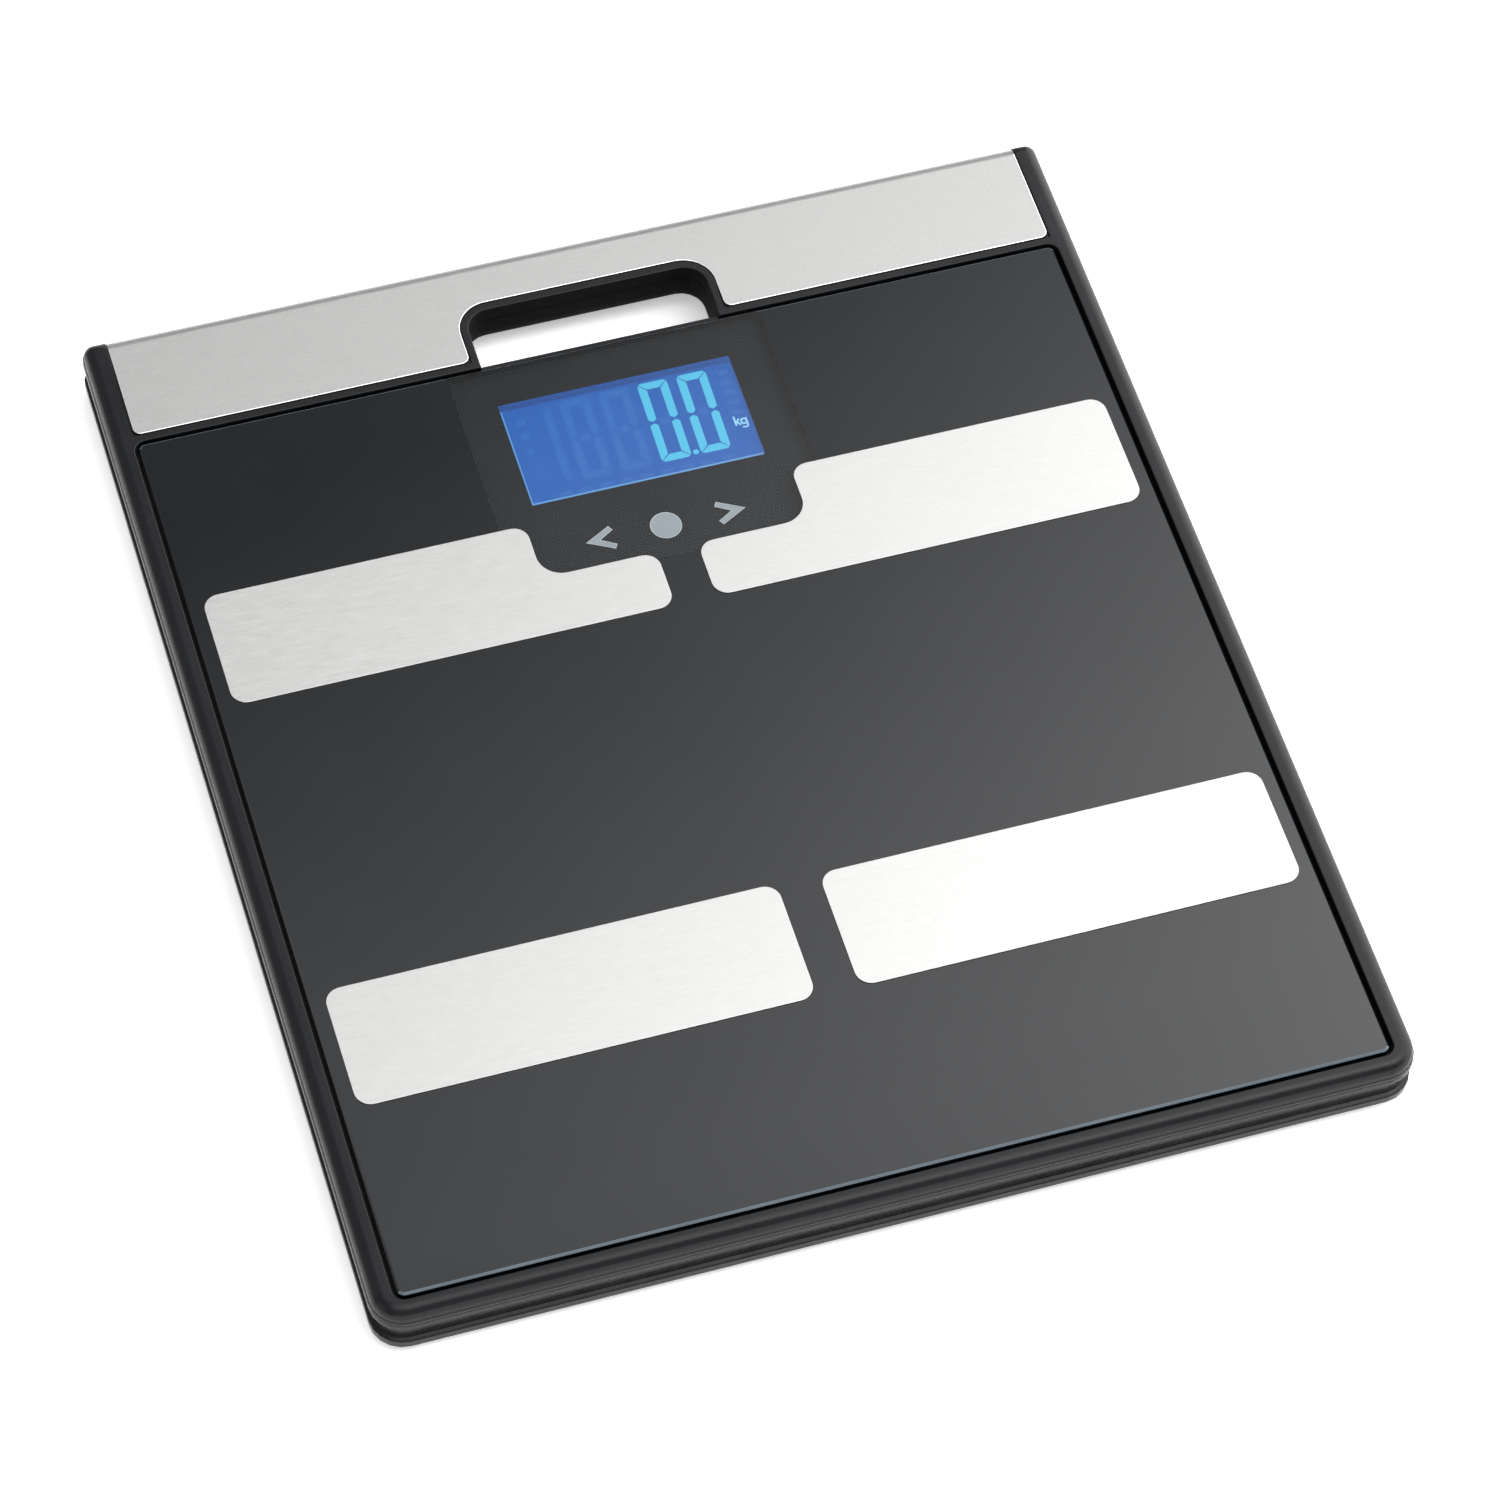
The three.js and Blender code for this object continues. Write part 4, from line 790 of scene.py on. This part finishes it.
# ======================= stage =======================
def floor():
    """Plain pale floor, lit a little from within like a light table."""
    size = 6.0
    bm = bmesh.new()
    bm.faces.new([bm.verts.new((x, y, 0)) for x, y in box_outline(-size, size, -size, size)])
    plane = piece_from("floor", bm)
    tree = Tree("pale_floor")
    tree.set(Base_Color=(0.97, 0.97, 0.97, 1), Roughness=0.8)
    tree.set(Emission_Color=(1, 1, 1, 1), Emission_Strength=0.4)
    tree.surface.inputs["Specular IOR Level"].default_value = 0.1
    plane.data.materials.append(tree.material)


def studio_world():
    """Soft light from all round, brighter to the right, with a strip overhead and a dark flag in front."""
    world = bpy.data.worlds.new("studio")
    bpy.context.scene.world = world
    world.use_nodes = True
    nodes, links = world.node_tree.nodes, world.node_tree.links

    def spread(value, start, end, low, high):
        node = nodes.new("ShaderNodeMapRange")
        for key, number in (("From Min", start), ("From Max", end), ("To Min", low), ("To Max", high)):
            node.inputs[key].default_value = number
        links.new(value, node.inputs["Value"])
        return node.outputs["Result"]

    def calculate(operation, first, second):
        node = nodes.new("ShaderNodeMath")
        node.operation = operation
        for socket, value in zip(node.inputs, (first, second)):
            if isinstance(value, float):
                socket.default_value = value
            else:
                links.new(value, socket)
        return node.outputs["Value"]

    direction = nodes.new("ShaderNodeTexCoord").outputs["Generated"]
    towards = nodes.new("ShaderNodeVectorMath")
    towards.operation = "DOT_PRODUCT"
    towards.inputs[1].default_value = Vector((0.79, -0.60, 0.10)).normalized()
    links.new(direction, towards.inputs[0])
    split = nodes.new("ShaderNodeSeparateXYZ")
    links.new(direction, split.inputs["Vector"])

    across = spread(towards.outputs["Value"], -0.21, 0.035, 0.0, 1.0)
    wash = spread(calculate("POWER", across, 2.1), 0.0, 1.0, 0.46, 3.4)
    strip_back = spread(split.outputs["Y"], 0.58, 0.505, 0.0, 0.75)
    strip_front = spread(split.outputs["Y"], 0.425, 0.47, 0.0, 0.75)
    lit = calculate("ADD", wash, calculate("MINIMUM", strip_back, strip_front))
    ahead = spread(split.outputs["Y"], -0.2, -0.5, 0.0, 0.8)
    raised = spread(split.outputs["Z"], 0.08, 0.22, 0.0, 1.0)
    shade = calculate("SUBTRACT", 1.0, calculate("MULTIPLY", ahead, raised))
    background = nodes["Background"]
    background.inputs["Color"].default_value = (1.0, 1.0, 1.0, 1)
    links.new(calculate("MULTIPLY", lit, shade), background.inputs["Strength"])


def softbox(name, place, target, size, power):
    lamp = bpy.data.lights.new(name, "AREA")
    lamp.shape = "RECTANGLE"
    lamp.size, lamp.size_y = size
    lamp.energy = power
    box = bpy.data.objects.new(name, lamp)
    box.location = place
    box.rotation_euler = (Vector(target) - Vector(place)).to_track_quat("-Z", "Y").to_euler()
    bpy.context.scene.collection.objects.link(box)


def camera():
    """Looks down at the scale from its front left."""
    azimuth, elevation, roll = math.radians(-20.0), math.radians(56.07), math.radians(3.68)
    distance, target = 1.7735, Vector((0, -22.8 * MM, CASING_HIGH.z))
    level = math.cos(elevation)
    back = Vector((math.sin(azimuth) * level, -math.cos(azimuth) * level, math.sin(elevation)))
    lens = bpy.data.cameras.new("camera")
    lens.sensor_width = 36
    lens.lens = 141.5
    lens.clip_start = 0.05
    eye = bpy.data.objects.new("camera", lens)
    facing = back.to_track_quat("Z", "Y").to_matrix().to_4x4()
    eye.matrix_world = Matrix.Translation(target + back * distance) @ facing @ Matrix.Rotation(roll, 4, "Z")
    bpy.context.scene.collection.objects.link(eye)
    bpy.context.scene.camera = eye


# ======================= assembly =======================
camera()
floor()
studio_world()
softbox("key", (0.9, -0.7, 2.2), (0, 0, 0), (1.2, 1.2), 12)
softbox("fill", (-1.9, -0.5, 0.8), (0, 0, 0), (1.2, 1.2), 3)

for node_name, node_object in frame["nodes"].items():
    node_object.data.materials.clear()
    node_object.data.materials.append(MATERIALS[SLOT_OF[node_name]])

crisp("upper_frame", 0.35 * MM, 3, "casing_painted_shade")
crisp("handle_trim", 0.22 * MM, 2, "trim_edge_highlight")
for pair in ("near", "far"):
    for hand in SIDES:
        crisp(f"electrode_{pair}_{hand}", 0.12 * MM, 2)
glass_pane()
key_symbols()
display()
underside()

bpy.context.scene.view_settings.view_transform = "Standard"
bpy.context.scene.view_settings.look = "None"
bpy.context.view_layer.update()
